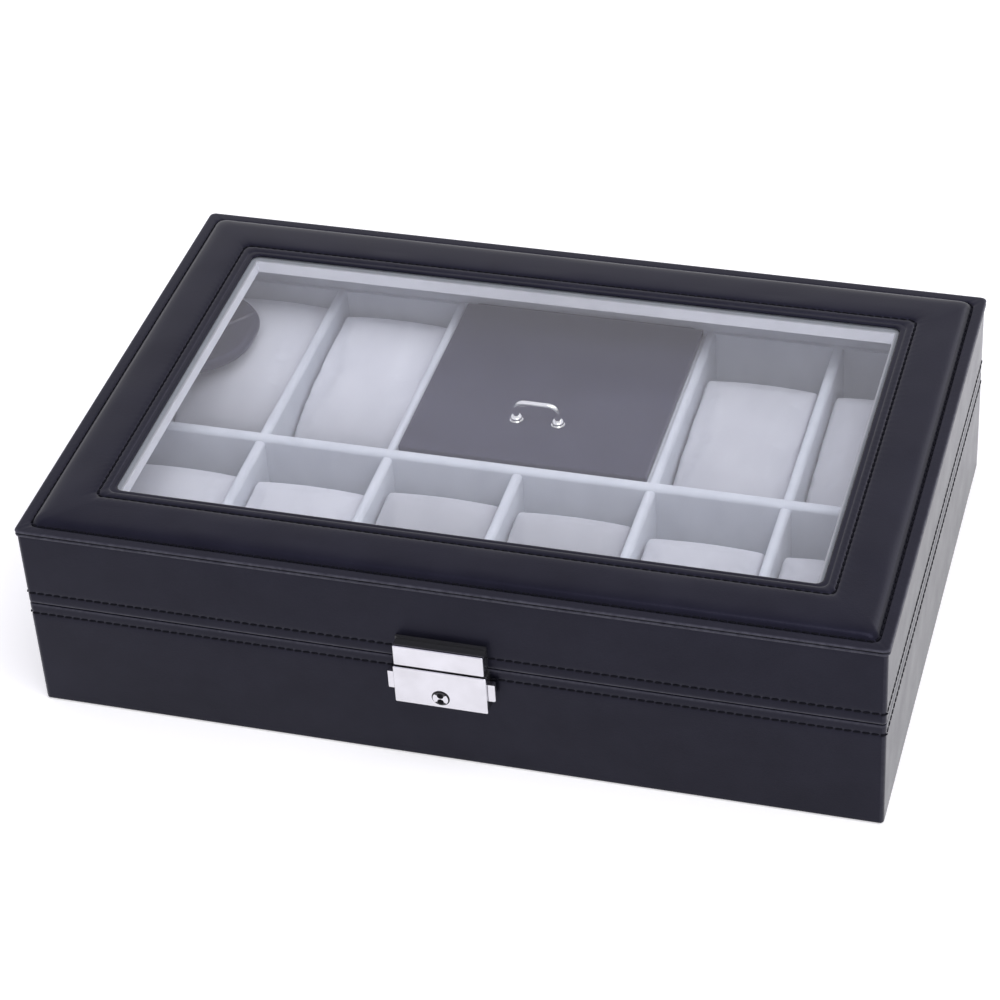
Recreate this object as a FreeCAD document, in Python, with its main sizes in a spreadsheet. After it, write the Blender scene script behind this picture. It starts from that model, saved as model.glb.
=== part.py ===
import FreeCAD, Part
import math
import os
import Sketcher

Vector = FreeCAD.Vector
X_AXIS = Vector(1, 0, 0)
Y_AXIS = Vector(0, 1, 0)
Z_AXIS = Vector(0, 0, 1)

# A watch box, in millimetres: +X to the right, +Y to the back, +Z up, origin under its middle
SIZES = (
    # Carcass and skin
    ("box_length", 300.0, "outside length over the leather"),
    ("box_width", 200.0, "outside width over the leather"),
    ("base_height", 44.25, "floor to the base's rim"),
    ("parting_gap", 0.3, "gap between the two rims"),
    ("lid_height", 32.0, "lid's rim to the top of its lip"),
    ("leather", 0.9, "leather skin"),
    ("corner_radius", 1.5, "upright outer corners"),
    ("rim_radius", 0.6, "rounding of the leather at the rims"),
    ("wall", 3.6, "base wall boards"),
    ("lid_wall", 3.2, "lid wall boards"),
    ("bottom_panel", 3.0, "bottom board"),
    ("bottom_cover", 0.6, "sheet under the bottom board"),
    ("cover_inset", 1.5, "bottom cover's edge inside the leather"),
    # Velvet tray
    ("liner", 1.6, "velvet-covered card"),
    ("liner_rise", 5.75, "liner above the base's rim"),
    ("divider", 4.0, "cross dividers"),
    ("divider_rise", 6.1, "cross dividers above the base's rim"),
    ("row_divider", 4.6, "long divider"),
    ("row_divider_rise", 7.1, "long divider above the base's rim"),
    ("row_divider_y", -2.0, "middle of the long divider"),
    ("divider_round", 1.6, "rounded tops of the dividers"),
    # Watch pillows
    ("pillow_slack", 15.6, "how much shorter a pillow is than a front compartment"),
    ("pillow_height", 40.4, "floor to the shoulder"),
    ("pillow_crown", 1.4, "rise of the top across the pillow"),
    ("pillow_waist", 0.7, "how far the sides draw in"),
    ("pillow_end", 4.0, "rounding of both ends"),
    ("pillow_slope", 54.0, "length of the top that falls to the front"),
    ("pillow_fall", 13.0, "fall of the top to the front"),
    ("slumped_slope", 70.0, "the same length on the two middle pillows in front"),
    ("slumped_fall", 18.0, "fall of those two"),
    ("pillow_clearance", 0.5, "pillow to divider"),
    ("front_gap_1", 5.0, "first front pillow to the wall in front of it"),
    ("front_gap_2", 4.0, "second front pillow"),
    ("front_gap_3", 7.5, "third front pillow"),
    ("front_gap_4", 6.0, "fourth front pillow"),
    ("front_gap_5", 1.0, "fifth front pillow"),
    ("front_gap_6", 0.6, "sixth front pillow"),
    ("back_gap_1", 0.6, "first back pillow to the back liner"),
    ("back_gap_2", 4.1, "second back pillow to the back liner"),
    ("back_gap_3", 2.0, "third back pillow to the long divider"),
    ("back_gap_4", 1.0, "fourth back pillow"),
    # Inner lid of the jewellery compartment
    ("inner_lid_clearance", 0.5, "inner lid to the dividers"),
    ("inner_lid_back_gap", 0.9, "inner lid to the back liner"),
    ("inner_lid_rise", 7.95, "top of the inner lid above the base's rim"),
    ("inner_lid_board", 2.0, "inner lid's board"),
    ("inner_lid_leather", 0.7, "inner lid's leather"),
    ("inner_lid_lining", 0.6, "velvet under the inner lid"),
    ("inner_lid_round", 0.5, "rounded edge of the inner lid"),
    ("ledge_width", 5.0, "ledges under the inner lid"),
    ("ledge_height", 4.0, "ledges under the inner lid"),
    ("strip_width", 84.0, "leather hinge strip"),
    ("strip_bend", 1.2, "bends of the hinge strip, at its middle"),
    ("strip_foot", 0.25, "hinge strip's flat foot on the back liner"),
    # Handle of the inner lid
    ("handle_spacing", 15.6, "between the feet"),
    ("handle_setback", 23.0, "feet behind the inner lid's front edge"),
    ("handle_height", 8.4, "inner lid to the middle of the bar"),
    ("handle_wire", 2.2, "wire diameter"),
    ("handle_bend", 3.4, "bend radius at the middle of the wire"),
    ("collar_diameter", 5.0, "flange of each collar"),
    ("collar_flange", 0.8, "height of the flange"),
    ("collar_height", 2.4, "whole height of each collar"),
    ("handle_screw", 1.2, "shank diameter"),
    ("handle_screw_grip", 2.6, "length of the screw in the foot"),
    ("handle_screw_head", 4.4, "head diameter"),
    ("handle_screw_dome", 1.1, "height of the head"),
    # Lid frame and window
    ("lip_layer", 1.1, "each of the two sewn layers of the lip"),
    ("lip_overhang", 0.6, "lip outside the side leather"),
    ("frame_width", 26.5, "outside of the box to the window"),
    ("outer_seam", 3.8, "outer seam from the outside of the box"),
    ("inner_seam", 5.0, "inner seam from the window"),
    ("panel_rise", 2.0, "raised part of the frame board above the seat of the lip"),
    ("panel_edge", 10.0, "raised part from the outside of the box"),
    ("pad_crown", 0.9, "padding above the raised part"),
    ("window_radius", 3.0, "corners of the window"),
    ("board_thickness", 5.7, "frame board"),
    ("board_overlap", 1.2, "frame board inside the leather's window"),
    ("glass_thickness", 2.0, "glass pane"),
    ("glass_border", 5.0, "glass on its rebate"),
    ("glass_clearance", 0.2, "glass to the rebate"),
    ("window_lining", 0.6, "velvet on the frame board's inner edge"),
    ("frame_lining", 1.0, "velvet card under the frame board"),
    ("lid_lining", 0.8, "velvet on the lid's walls"),
    ("lid_lining_rise", 8.5, "lower edge of that velvet above the lid's rim"),
    # Hinges
    ("hinge_x", 95.0, "middle of each hinge from the middle of the box"),
    ("leaf_width", 26.0, "hinge leaf along the back"),
    ("leaf_height", 10.5, "hinge leaf up the back"),
    ("leaf_thickness", 0.8, "hinge leaf"),
    ("leaf_setback", 0.9, "leaf's edge from the pin's height"),
    ("knuckle_radius", 1.7, "outside of the knuckles"),
    ("knuckle_length", 8.8, "middle knuckle"),
    ("knuckle_gap", 0.2, "between knuckles"),
    ("knuckle_standoff", 0.4, "knuckle to leather"),
    ("notch_room", 0.5, "leaf round the other leaf's knuckle"),
    ("pin_radius", 0.8, "hinge pin"),
    ("pin_play", 0.05, "pin in the turning knuckle"),
    ("screw_spacing", 16.0, "two screws in each leaf"),
    ("screw_rise", 6.3, "screws from the leaf's edge at the knuckles"),
    ("screw_radius", 0.75, "screw shank"),
    ("screw_depth", 3.8, "shank behind the leaf's outer face"),
    ("screw_head", 1.6, "radius of the screw head"),
    ("screw_dome", 0.7, "height of the screw head"),
    # Lock
    ("case_width", 32.6, "lower half of the lock"),
    ("case_height", 15.5, "lower half of the lock"),
    ("case_drop", 0.5, "lock case below the base's rim"),
    ("lock_depth", 5.0, "lock in front of the leather"),
    ("case_wall", 1.0, "wall of the lock case"),
    ("lock_round", 0.5, "rounded front edges of the lock"),
    ("catch_width", 31.6, "upper half of the lock"),
    ("catch_height", 8.2, "upper half of the lock"),
    ("catch_lift", 0.2, "catch above the lid's rim"),
    ("flange_height", 1.1, "catch's flange above its block"),
    ("flange_thickness", 1.0, "catch's flange"),
    ("tongue_width", 8.0, "tongue of the catch"),
    ("tongue_thickness", 1.2, "tongue of the catch"),
    ("tongue_length", 7.75, "tongue below the catch"),
    ("tongue_inset", 1.8, "tongue behind the lock's front"),
    ("tongue_room", 0.5, "tongue in the slot of the case"),
    ("notch_height", 2.0, "notches in the tongue's sides"),
    ("notch_depth", 0.8, "notches in the tongue's sides"),
    ("notch_rise", 1.3, "notches above the tongue's tip"),
    ("post_radius", 1.2, "fixing posts"),
    ("post_spacing", 24.0, "fixing posts of the case"),
    ("post_height", 1.9, "case's posts above its lower edge"),
    ("catch_post_spacing", 20.0, "fixing posts of the catch"),
    ("button_height", 7.2, "side buttons"),
    ("button_thickness", 2.2, "side buttons"),
    ("button_reach", 2.6, "buttons outside the case"),
    ("button_rise", 5.0, "buttons above the case's lower edge"),
    ("button_inset", 1.3, "buttons behind the lock's front"),
    ("button_room", 0.3, "buttons in the case's side slots"),
    ("button_depth", 3.8, "buttons inside the case"),
    ("shoulder", 0.8, "shoulder above and below each button"),
    ("shoulder_width", 1.5, "shoulder along the button's travel"),
    ("button_round", 0.6, "rounded ends of the buttons"),
    ("arm_thickness", 1.0, "arms behind the tongue"),
    ("arm_height", 1.2, "arms behind the tongue"),
    ("arm_gap", 0.4, "arm to tongue"),
    ("arm_top", 0.1, "upper arm below the button's top"),
    ("arm_step", 2.3, "between the two arms"),
    ("tooth_width", 2.0, "tooth on each arm"),
    ("tooth_gap", 0.3, "tooth to tongue"),
    ("barrel_radius", 2.7, "key barrel"),
    ("barrel_play", 0.05, "key barrel in the case"),
    ("barrel_rise", 4.4, "middle of the barrel above the case's lower edge"),
    ("barrel_proud", 0.5, "barrel in front of the case"),
    ("barrel_length", 4.4, "key barrel"),
    ("keyhole_radius", 1.15, "two round notches of the keyhole"),
    ("keyhole_offset", 1.25, "notches from the middle of the barrel"),
    ("keyhole_depth", 1.2, "notches"),
    ("cam_width", 2.4, "cam behind the barrel"),
    ("cam_length", 2.9, "cam behind the barrel"),
    ("cam_thickness", 0.7, "cam behind the barrel"),
    ("spring_leaf", 0.4, "bow spring"),
    ("spring_width", 1.0, "bow spring"),
    ("spring_bow", 1.8, "rise of the bow spring"),
    ("spring_rise", 1.0, "bow spring's ends above the buttons' lower edge"),
    ("spring_gap", 0.2, "bow spring to each button"),
    # Stay strap
    ("strap_front", 30.0, "front edge of the strap"),
    ("strap_width", 44.0, "strap along the wall"),
    ("strap_thickness", 0.9, "strap"),
    ("strap_front_fold", 11.3, "reach of the fold at the strap's front edge"),
    ("strap_middle_fold", 24.2, "reach of the fold across the middle"),
    ("strap_back_fold", 14.5, "reach of the fold at the strap's back edge"),
    ("strap_bend", 1.0, "bends at the walls, at the strap's middle"),
    ("strap_fold", 2.0, "bends of the fold, at the strap's middle"),
    ("strap_tail", 12.0, "glued length behind the liner"),
    ("strap_lid_tail", 8.0, "glued length on the lid's lining"),
)
COLUMNS = 6
PAD_ROUND = 0.76
PILLOWS_BEHIND = (0, 1, 4, 5)
DIVIDERS_BEHIND = (1, 2, 4, 5)

doc = FreeCAD.newDocument("watch_box")
sheet = doc.addObject("Spreadsheet::Sheet", "dim")
for row, (alias, value, meaning) in enumerate(SIZES, 1):
    sheet.set(f"A{row}", meaning)
    sheet.set(f"B{row}", str(value))
    sheet.setAlias(f"B{row}", alias)
doc.recompute()

# Places that several pieces share, as expressions of the driving dimensions
HALF_X = "dim.box_length / 2"
HALF_Y = "dim.box_width / 2"
BOARD_X = f"({HALF_X} - dim.leather)"
BOARD_Y = f"({HALF_Y} - dim.leather)"
WALL_X = f"({BOARD_X} - dim.wall)"
WALL_Y = f"({BOARD_Y} - dim.wall)"
LINER_X = f"({WALL_X} - dim.liner)"
LINER_Y = f"({WALL_Y} - dim.liner)"
LID_X = f"({BOARD_X} - dim.lid_wall)"
LID_Y = f"({BOARD_Y} - dim.lid_wall)"
FLOOR = "(dim.bottom_cover + dim.bottom_panel)"
TRAY = f"({FLOOR} + dim.liner)"
RIM = "dim.base_height"
LID_RIM = f"({RIM} + dim.parting_gap)"
BOARD_TOP = f"({LID_RIM} + dim.lid_height - dim.lip_layer)"
PANEL_TOP = f"({BOARD_TOP} + dim.panel_rise)"
BOARD_LOW = f"({PANEL_TOP} - dim.board_thickness)"
GLASS_LOW = f"({PANEL_TOP} - dim.glass_thickness)"
LINING_LOW = f"({BOARD_LOW} - dim.frame_lining)"
LINER_TOP = f"({RIM} + dim.liner_rise)"
ROW_FRONT = "(dim.row_divider_y - dim.row_divider / 2)"
ROW_BACK = "(dim.row_divider_y + dim.row_divider / 2)"
PILLOW = f"({LINER_Y} + {ROW_FRONT} - dim.pillow_slack)"
PITCH = f"((2 * {LINER_X} + dim.divider) / {COLUMNS})"
PIN_Y = f"({HALF_Y} + dim.knuckle_standoff + dim.knuckle_radius)"
PIN_Z = f"({RIM} + dim.parting_gap / 2)"
LOCK_FRONT = f"({HALF_Y} + dim.lock_depth)"
CASE_TOP = f"({RIM} - dim.case_drop)"
CASE_LOW = f"({CASE_TOP} - dim.case_height)"
CATCH_LOW = f"({LID_RIM} + dim.catch_lift)"
INNER_TOP = f"({RIM} + dim.inner_lid_rise)"
INNER_BOARD_TOP = f"({INNER_TOP} - dim.inner_lid_leather)"
INNER_BOARD_LOW = f"({INNER_BOARD_TOP} - dim.inner_lid_board)"
INNER_LOW = f"({INNER_BOARD_LOW} - dim.inner_lid_lining)"
BAY_X = f"({PITCH} - dim.divider / 2)"
INNER_X = f"({BAY_X} - dim.inner_lid_clearance)"
INNER_FRONT = f"({ROW_BACK} + dim.inner_lid_clearance)"
INNER_BACK = f"({LINER_Y} - dim.inner_lid_back_gap)"
HANDLE_Y = f"({INNER_FRONT} + dim.handle_setback)"

nodes = []


def size(expression):
    """The value of an expression of the driving dimensions."""
    return float(sheet.evalExpression(expression))


def node(label, piece):
    """Name a finished piece and list it for writing."""
    piece.Label = label
    nodes.append(piece)
    return piece


def both(half):
    """A span from minus half to plus half."""
    return (f"-({half})", f"{half}")


def mirrored(side, near, far):
    """A span from near to far out from the middle, to the left (-1) or right (+1)."""
    return (f"{near}", f"{far}") if side > 0 else (f"-({far})", f"-({near})")


def block(x, y, z):
    """A box between pairs of expressions."""
    box = doc.addObject("Part::Box", "block")
    for axis, side, (low, high) in zip("xyz", ("Length", "Width", "Height"), (x, y, z)):
        box.setExpression(side, f"({high}) - ({low})")
        box.setExpression(f"Placement.Base.{axis}", low)
    return box


def rod(radius, length, start, turn=FreeCAD.Rotation()):
    """A cylinder from a start point along its turned axis."""
    cylinder = doc.addObject("Part::Cylinder", "rod")
    cylinder.Placement = FreeCAD.Placement(Vector(), turn)
    cylinder.setExpression("Radius", radius)
    cylinder.setExpression("Height", length)
    for axis, place in zip("xyz", start):
        cylinder.setExpression(f"Placement.Base.{axis}", place)
    return cylinder


ALONG_X = FreeCAD.Rotation(Y_AXIS, 90)
ALONG_Y = FreeCAD.Rotation(X_AXIS, -90)


def cut(base, *tools):
    """Base without the tools."""
    for tool in tools:
        result = doc.addObject("Part::Cut", "cut")
        result.Base = base
        result.Tool = tool
        base = result
    return base


def fuse(*pieces):
    """One piece out of several that touch."""
    result = doc.addObject("Part::MultiFuse", "fuse")
    result.Shapes = list(pieces)
    result.Refine = True
    return result


def group(*pieces):
    """Separate pieces in one node."""
    result = doc.addObject("Part::Compound", "group")
    result.Links = list(pieces)
    return result


def shaped(shape):
    """A piece made with the geometry kernel's own functions."""
    piece = doc.addObject("Part::Feature", "shaped")
    piece.Shape = shape
    return piece


def edges_where(shape, keep):
    """Numbers of the edges that a test keeps."""
    return [number for number, edge in enumerate(shape.Edges, 1) if keep(edge)]


def soften(base, radius, keep):
    """Round the edges that a test keeps."""
    doc.recompute()
    result = doc.addObject("Part::Fillet", "soften")
    result.Base = base
    result.Edges = [(number, size(radius), size(radius)) for number in edges_where(base.Shape, keep)]
    return result


def level(edge, axis, value):
    """Whether a whole edge lies at one value of x, y or z."""
    return all(abs(getattr(vertex.Point, axis) - value) < 1e-6 for vertex in edge.Vertexes)


def upright(edge):
    """Whether an edge is a straight line along Z."""
    return edge.Curve.TypeId == "Part::GeomLine" and abs(edge.Curve.Direction.z) > 0.999


def new_body(name):
    """An empty body."""
    return doc.addObject("PartDesign::Body", name)


def sketch_on(body, role, offset):
    """An empty sketch on one of the body's origin planes, moved along the plane's normal."""
    sketch = body.newObject("Sketcher::SketchObject", f"{body.Name}_sketch")
    plane = next(feature for feature in body.Origin.OriginFeatures if feature.Role == role)
    sketch.AttachmentSupport = [(plane, "")]
    sketch.MapMode = "FlatFace"
    sketch.setExpression("AttachmentOffset.Base.z", offset)
    return sketch


def rectangle(sketch, across, up):
    """A rectangle between pairs of expressions."""
    left, right = (size(expression) for expression in across)
    low, high = (size(expression) for expression in up)
    corners = [Vector(left, low), Vector(right, low), Vector(right, high), Vector(left, high)]
    first = sketch.GeometryCount
    sketch.addGeometry([Part.LineSegment(corners[i], corners[(i + 1) % 4]) for i in range(4)])
    for i in range(4):
        sketch.addConstraint(Sketcher.Constraint("Coincident", first + i, 2, first + (i + 1) % 4, 1))
        sketch.addConstraint(Sketcher.Constraint("Vertical" if i % 2 else "Horizontal", first + i))
    placed = (("DistanceX", first, across[0], left), ("DistanceX", first + 2, across[1], right),
              ("DistanceY", first, up[0], low), ("DistanceY", first + 2, up[1], high))
    for kind, line, expression, value in placed:
        number = sketch.addConstraint(Sketcher.Constraint(kind, -1, 1, line, 1, value))
        sketch.setExpression(f"Constraints[{number}]", expression)


def circle(sketch, across, up, radius):
    """A circle at a pair of expressions."""
    number = sketch.addGeometry(Part.Circle(Vector(size(across), size(up)), Z_AXIS, size(radius)))
    placed = (("DistanceX", across), ("DistanceY", up))
    for kind, expression in placed:
        constraint = sketch.addConstraint(Sketcher.Constraint(kind, -1, 1, number, 3, size(expression)))
        sketch.setExpression(f"Constraints[{constraint}]", expression)
    constraint = sketch.addConstraint(Sketcher.Constraint("Radius", number, size(radius)))
    sketch.setExpression(f"Constraints[{constraint}]", radius)


def pad(body, sketch, length):
    """Add the sketch's shape along its normal."""
    feature = body.newObject("PartDesign::Pad", f"{body.Name}_pad")
    feature.Profile = sketch
    feature.setExpression("Length", length)
    return feature


def pocket(body, sketch, length, forward=False):
    """Cut the sketch's shape against its normal, or along it."""
    feature = body.newObject("PartDesign::Pocket", f"{body.Name}_pocket")
    feature.Profile = sketch
    feature.Reversed = forward
    feature.setExpression("Length", length)
    return feature


def round_edges(body, radius, keep):
    """Round the edges of the body's last feature that a test keeps."""
    doc.recompute()
    base = body.Tip
    feature = body.newObject("PartDesign::Fillet", f"{body.Name}_fillet")
    feature.Base = (base, [f"Edge{number}" for number in edges_where(base.Shape, keep)])
    feature.setExpression("Radius", radius)
    return feature


def base_carcass():
    """Four wall boards and the bottom panel."""
    height = ("dim.bottom_cover", f"{RIM} - dim.leather")
    node("base_front_panel", cut(block(both(BOARD_X), (f"-{BOARD_Y}", f"-{WALL_Y}"), height), lock_case))
    node("base_back_panel", cut(block(both(BOARD_X), (WALL_Y, BOARD_Y), height), base_screws))
    node("base_left_panel", block((f"-{BOARD_X}", f"-{WALL_X}"), both(WALL_Y), height))
    node("base_right_panel", block((WALL_X, BOARD_X), both(WALL_Y), height))
    node("base_bottom_panel", block(both(WALL_X), both(WALL_Y), ("dim.bottom_cover", FLOOR)))
    inset_x = f"({HALF_X} - dim.cover_inset)"
    inset_y = f"({HALF_Y} - dim.cover_inset)"
    node("bottom_cover", block(both(inset_x), both(inset_y), ("0", "dim.bottom_cover")))


def outer_corner(edge):
    """Whether an edge is an upright outer corner of the leather."""
    point = edge.Vertexes[0].Point
    return upright(edge) and abs(point.x) > size(BOARD_X) + 1e-3 and abs(point.y) > size(BOARD_Y) + 1e-3


def base_leather():
    """Skin round the walls, turned in over the rim."""
    body = new_body("base_skin")
    outside = sketch_on(body, "XY_Plane", "dim.bottom_cover")
    rectangle(outside, both(HALF_X), both(HALF_Y))
    pad(body, outside, f"{RIM} - dim.bottom_cover")
    inside = sketch_on(body, "XY_Plane", f"{RIM} - dim.leather")
    rectangle(inside, both(BOARD_X), both(BOARD_Y))
    pocket(body, inside, f"{RIM} - dim.leather - dim.bottom_cover")
    mouth = sketch_on(body, "XY_Plane", RIM)
    rectangle(mouth, both(WALL_X), both(WALL_Y))
    pocket(body, mouth, "2 * dim.leather")
    round_edges(body, "dim.corner_radius", outer_corner)
    rim = size(RIM)
    round_edges(body, "dim.rim_radius",
                lambda edge: level(edge, "z", rim) and not on_mouth(edge, WALL_X, WALL_Y))
    node("base_leather", cut(body, lock_case, base_screws))


def on_mouth(edge, half_x, half_y):
    """Whether an edge lies on the inner border of a rim."""
    reach = 1e-3
    return all(abs(vertex.Point.x) < size(half_x) + reach and abs(vertex.Point.y) < size(half_y) + reach
               for vertex in edge.Vertexes)


def tray():
    """Velvet floor and liners; the left liner holds the strap's tail behind it."""
    node("liner_floor", block(both(WALL_X), both(WALL_Y), (FLOOR, TRAY)))
    height = (TRAY, LINER_TOP)
    node("liner_front", block(both(WALL_X), (f"-{WALL_Y}", f"-{LINER_Y}"), height))
    node("liner_back", block(both(WALL_X), (LINER_Y, WALL_Y), height))
    node("liner_left", cut(block((f"-{WALL_X}", f"-{LINER_X}"), both(LINER_Y), height), strap))
    node("liner_right", block((LINER_X, WALL_X), both(LINER_Y), height))


def rounded_divider(x, y, rise):
    """A divider on the tray's floor with a rounded top."""
    top = f"{RIM} + {rise}"
    card = block(x, y, (TRAY, top))
    long_way = "x" if size(f"{x[1]} - ({x[0]})") > size(f"{y[1]} - ({y[0]})") else "y"
    height = size(top)
    return soften(card, "dim.divider_round", lambda edge: level(edge, "z", height)
                  and abs(getattr(edge.Curve.Direction, long_way)) > 0.999)


def dividers():
    """The long divider and the cross dividers in front of and behind it."""
    node("row_divider", rounded_divider(both(LINER_X), (ROW_FRONT, ROW_BACK), "dim.row_divider_rise"))
    rows = (("front_dividers", range(1, COLUMNS), (f"-{LINER_Y}", ROW_FRONT)),
            ("back_dividers", DIVIDERS_BEHIND, (ROW_BACK, LINER_Y)))
    for label, places, depth in rows:
        cards = []
        for place in places:
            middle = f"({place} - {COLUMNS} / 2) * {PITCH}"
            across = (f"{middle} - dim.divider / 2", f"{middle} + dim.divider / 2")
            cards.append(rounded_divider(across, depth, "dim.divider_rise"))
        node(label, group(*cards))


def pillow_section(y, half_width, low, shoulder, crown, waist):
    """Closed outline across a pillow: flat foot, drawn-in sides, crowned top."""
    foot_left = Vector(-half_width, y, low)
    foot_right = Vector(half_width, y, low)
    shoulder_left = Vector(-half_width, y, shoulder)
    shoulder_right = Vector(half_width, y, shoulder)
    middle = (low + shoulder) / 2
    return Part.Wire([
        Part.LineSegment(foot_left, foot_right).toShape(),
        Part.Arc(foot_right, Vector(half_width - waist, y, middle), shoulder_right).toShape(),
        Part.Arc(shoulder_right, Vector(0, y, shoulder + crown), shoulder_left).toShape(),
        Part.Arc(shoulder_left, Vector(waist - half_width, y, middle), foot_left).toShape(),
    ])


def pillow_shape(slope, fall):
    """A soft block lofted front to back, standing on z = 0 with its front at y = 0, where its top is low."""
    length = size(PILLOW)
    half_width = size(f"({PITCH} - dim.divider) / 2 - dim.pillow_clearance")
    end = size("dim.pillow_end")
    rounding = []
    for degrees in range(0, 91, 15):
        angle = math.radians(degrees)
        rounding.append((end * (1 - math.cos(angle)), end * (1 - math.sin(angle))))
    between = [(end + share / 8 * (length - 2 * end), 0.0) for share in range(1, 8)]
    wires = []
    for y, inset in rounding + between + [(length - back, inset) for back, inset in rounding[::-1]]:
        softness = 1 - 0.6 * inset / end
        steep = max(0, 1 - y / slope)
        shoulder = size("dim.pillow_height") - inset - fall * (1 - math.sqrt(1 - steep ** 2))
        wires.append(pillow_section(y, half_width - inset / 3, inset / 3, shoulder,
                                    softness * size("dim.pillow_crown"), softness * size("dim.pillow_waist")))
    return Part.makeLoft(wires, True, True)


def pillows():
    """Six pillows in the front row and four behind; the two in the middle of the front row slump more,
    and the first two behind are pushed back to the liner."""
    full = pillow_shape(size("dim.pillow_slope"), size("dim.pillow_fall"))
    slumped = pillow_shape(size("dim.slumped_slope"), size("dim.slumped_fall"))
    rows = (("front", range(COLUMNS), f"-{LINER_Y}"), ("back", PILLOWS_BEHIND, ROW_BACK))
    for row, places, wall in rows:
        for number, place in enumerate(places, 1):
            pillow = shaped(slumped if row == "front" and number in (3, 4) else full)
            pillow.setExpression("Placement.Base.x", f"({place} + 0.5 - {COLUMNS} / 2) * {PITCH}")
            gap = f"dim.{row}_gap_{number}"
            pushed_back = row == "back" and number in (1, 2)
            front = f"{LINER_Y} - {gap} - {PILLOW}" if pushed_back else f"{wall} + {gap}"
            pillow.setExpression("Placement.Base.y", front)
            pillow.setExpression("Placement.Base.z", TRAY)
            node(f"{row}_pillow_{number}", pillow)


def lid_carcass():
    """Four wall boards and the frame board, raised inside the lip, with the glass's rebate."""
    height = (f"{LID_RIM} + dim.leather", BOARD_LOW)
    node("lid_front_panel", cut(block(both(BOARD_X), (f"-{BOARD_Y}", f"-{LID_Y}"), height), latch_catch))
    node("lid_back_panel", cut(block(both(BOARD_X), (LID_Y, BOARD_Y), height), lid_screws))
    node("lid_left_panel", block((f"-{BOARD_X}", f"-{LID_X}"), both(LID_Y), height))
    node("lid_right_panel", block((LID_X, BOARD_X), both(LID_Y), height))
    body = new_body("frame_board")
    plan = sketch_on(body, "XY_Plane", BOARD_LOW)
    rectangle(plan, both(BOARD_X), both(BOARD_Y))
    rectangle(plan, both(opening_x()), both(opening_y()))
    pad(body, plan, "dim.board_thickness")
    border = sketch_on(body, "XY_Plane", PANEL_TOP)
    rectangle(border, both(BOARD_X), both(BOARD_Y))
    rectangle(border, both(f"{HALF_X} - dim.panel_edge"), both(f"{HALF_Y} - dim.panel_edge"))
    pocket(body, border, "dim.panel_rise")
    rebate = sketch_on(body, "XY_Plane", PANEL_TOP)
    room = "dim.glass_border + dim.glass_clearance"
    rectangle(rebate, both(f"{opening_x()} + {room}"), both(f"{opening_y()} + {room}"))
    pocket(body, rebate, "dim.glass_thickness")
    node("lid_frame_board", body)
    glass_x = f"({opening_x()} + dim.glass_border)"
    glass_y = f"({opening_y()} + dim.glass_border)"
    node("window_glass", block(both(glass_x), both(glass_y), (GLASS_LOW, PANEL_TOP)))


def opening_x():
    """Half the length of the frame board's opening."""
    return f"({HALF_X} - dim.frame_width - dim.board_overlap)"


def opening_y():
    """Half the width of the frame board's opening."""
    return f"({HALF_Y} - dim.frame_width - dim.board_overlap)"


def lid_side_leather():
    """Skin round the lid's walls, turned in at the rim, with the lower layer of the lip as a bead."""
    body = new_body("lid_skin")
    outside = sketch_on(body, "XY_Plane", LID_RIM)
    rectangle(outside, both(HALF_X), both(HALF_Y))
    pad(body, outside, f"{BOARD_TOP} - {LID_RIM}")
    bead = sketch_on(body, "XY_Plane", f"{BOARD_TOP} - dim.lip_layer")
    rectangle(bead, both(f"{HALF_X} + dim.lip_overhang"), both(f"{HALF_Y} + dim.lip_overhang"))
    pad(body, bead, "dim.lip_layer")
    inside = sketch_on(body, "XY_Plane", BOARD_TOP)
    rectangle(inside, both(BOARD_X), both(BOARD_Y))
    pocket(body, inside, f"{BOARD_TOP} - {LID_RIM} - dim.leather")
    mouth = sketch_on(body, "XY_Plane", BOARD_TOP)
    rectangle(mouth, both(LID_X), both(LID_Y))
    pocket(body, mouth, f"{BOARD_TOP} - {LID_RIM}")
    round_edges(body, "dim.corner_radius", outer_corner)
    low = size(LID_RIM)
    round_edges(body, "dim.rim_radius",
                lambda edge: level(edge, "z", low) and not on_mouth(edge, LID_X, LID_Y))
    node("lid_side_leather", cut(body, latch_catch, lid_screws))


def mitred_frame(outline, half_x, half_y, depth):
    """A closed outline of (inward, up) edges carried round a rectangle, mitred at the corners."""
    bars = []
    for turn in (0, 90, 180, 270):
        reach, run = (half_x, half_y) if turn % 180 == 0 else (half_y, half_x)
        face = Part.Face(outline.copy())
        face.Placement = FreeCAD.Placement(Vector(reach, -run, 0), FreeCAD.Rotation(Z_AXIS, 180))
        bar = face.extrude(Vector(0, 2 * run, 0))
        corners = [Vector(reach, -run, 0), Vector(reach, run, 0), Vector(reach - depth, run - depth, 0),
                   Vector(reach - depth, depth - run, 0), Vector(reach, -run, 0)]
        wedge = Part.Face(Part.makePolygon(corners)).extrude(Vector(0, 0, 2 * size(BOARD_TOP)))
        mitred = bar.common(wedge)
        mitred.rotate(Vector(), Z_AXIS, turn)
        bars.append(mitred)
    return bars[0].multiFuse(bars[1:]).removeSplitter()


def outline_of(*steps):
    """A wire in the XZ plane through points, with an arc wherever a step gives a middle point."""
    edges = []
    start = steps[0]
    for step in steps[1:] + steps[:1]:
        if len(step) == 4:
            middle, step = step[:2], step[2:]
            arc = Part.Arc(Vector(start[0], 0, start[1]), Vector(middle[0], 0, middle[1]),
                           Vector(step[0], 0, step[1]))
            edges.append(arc.toShape())
        else:
            edges.append(Part.makeLine(Vector(start[0], 0, start[1]), Vector(step[0], 0, step[1])))
        start = step
    return Part.Wire(edges)


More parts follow.
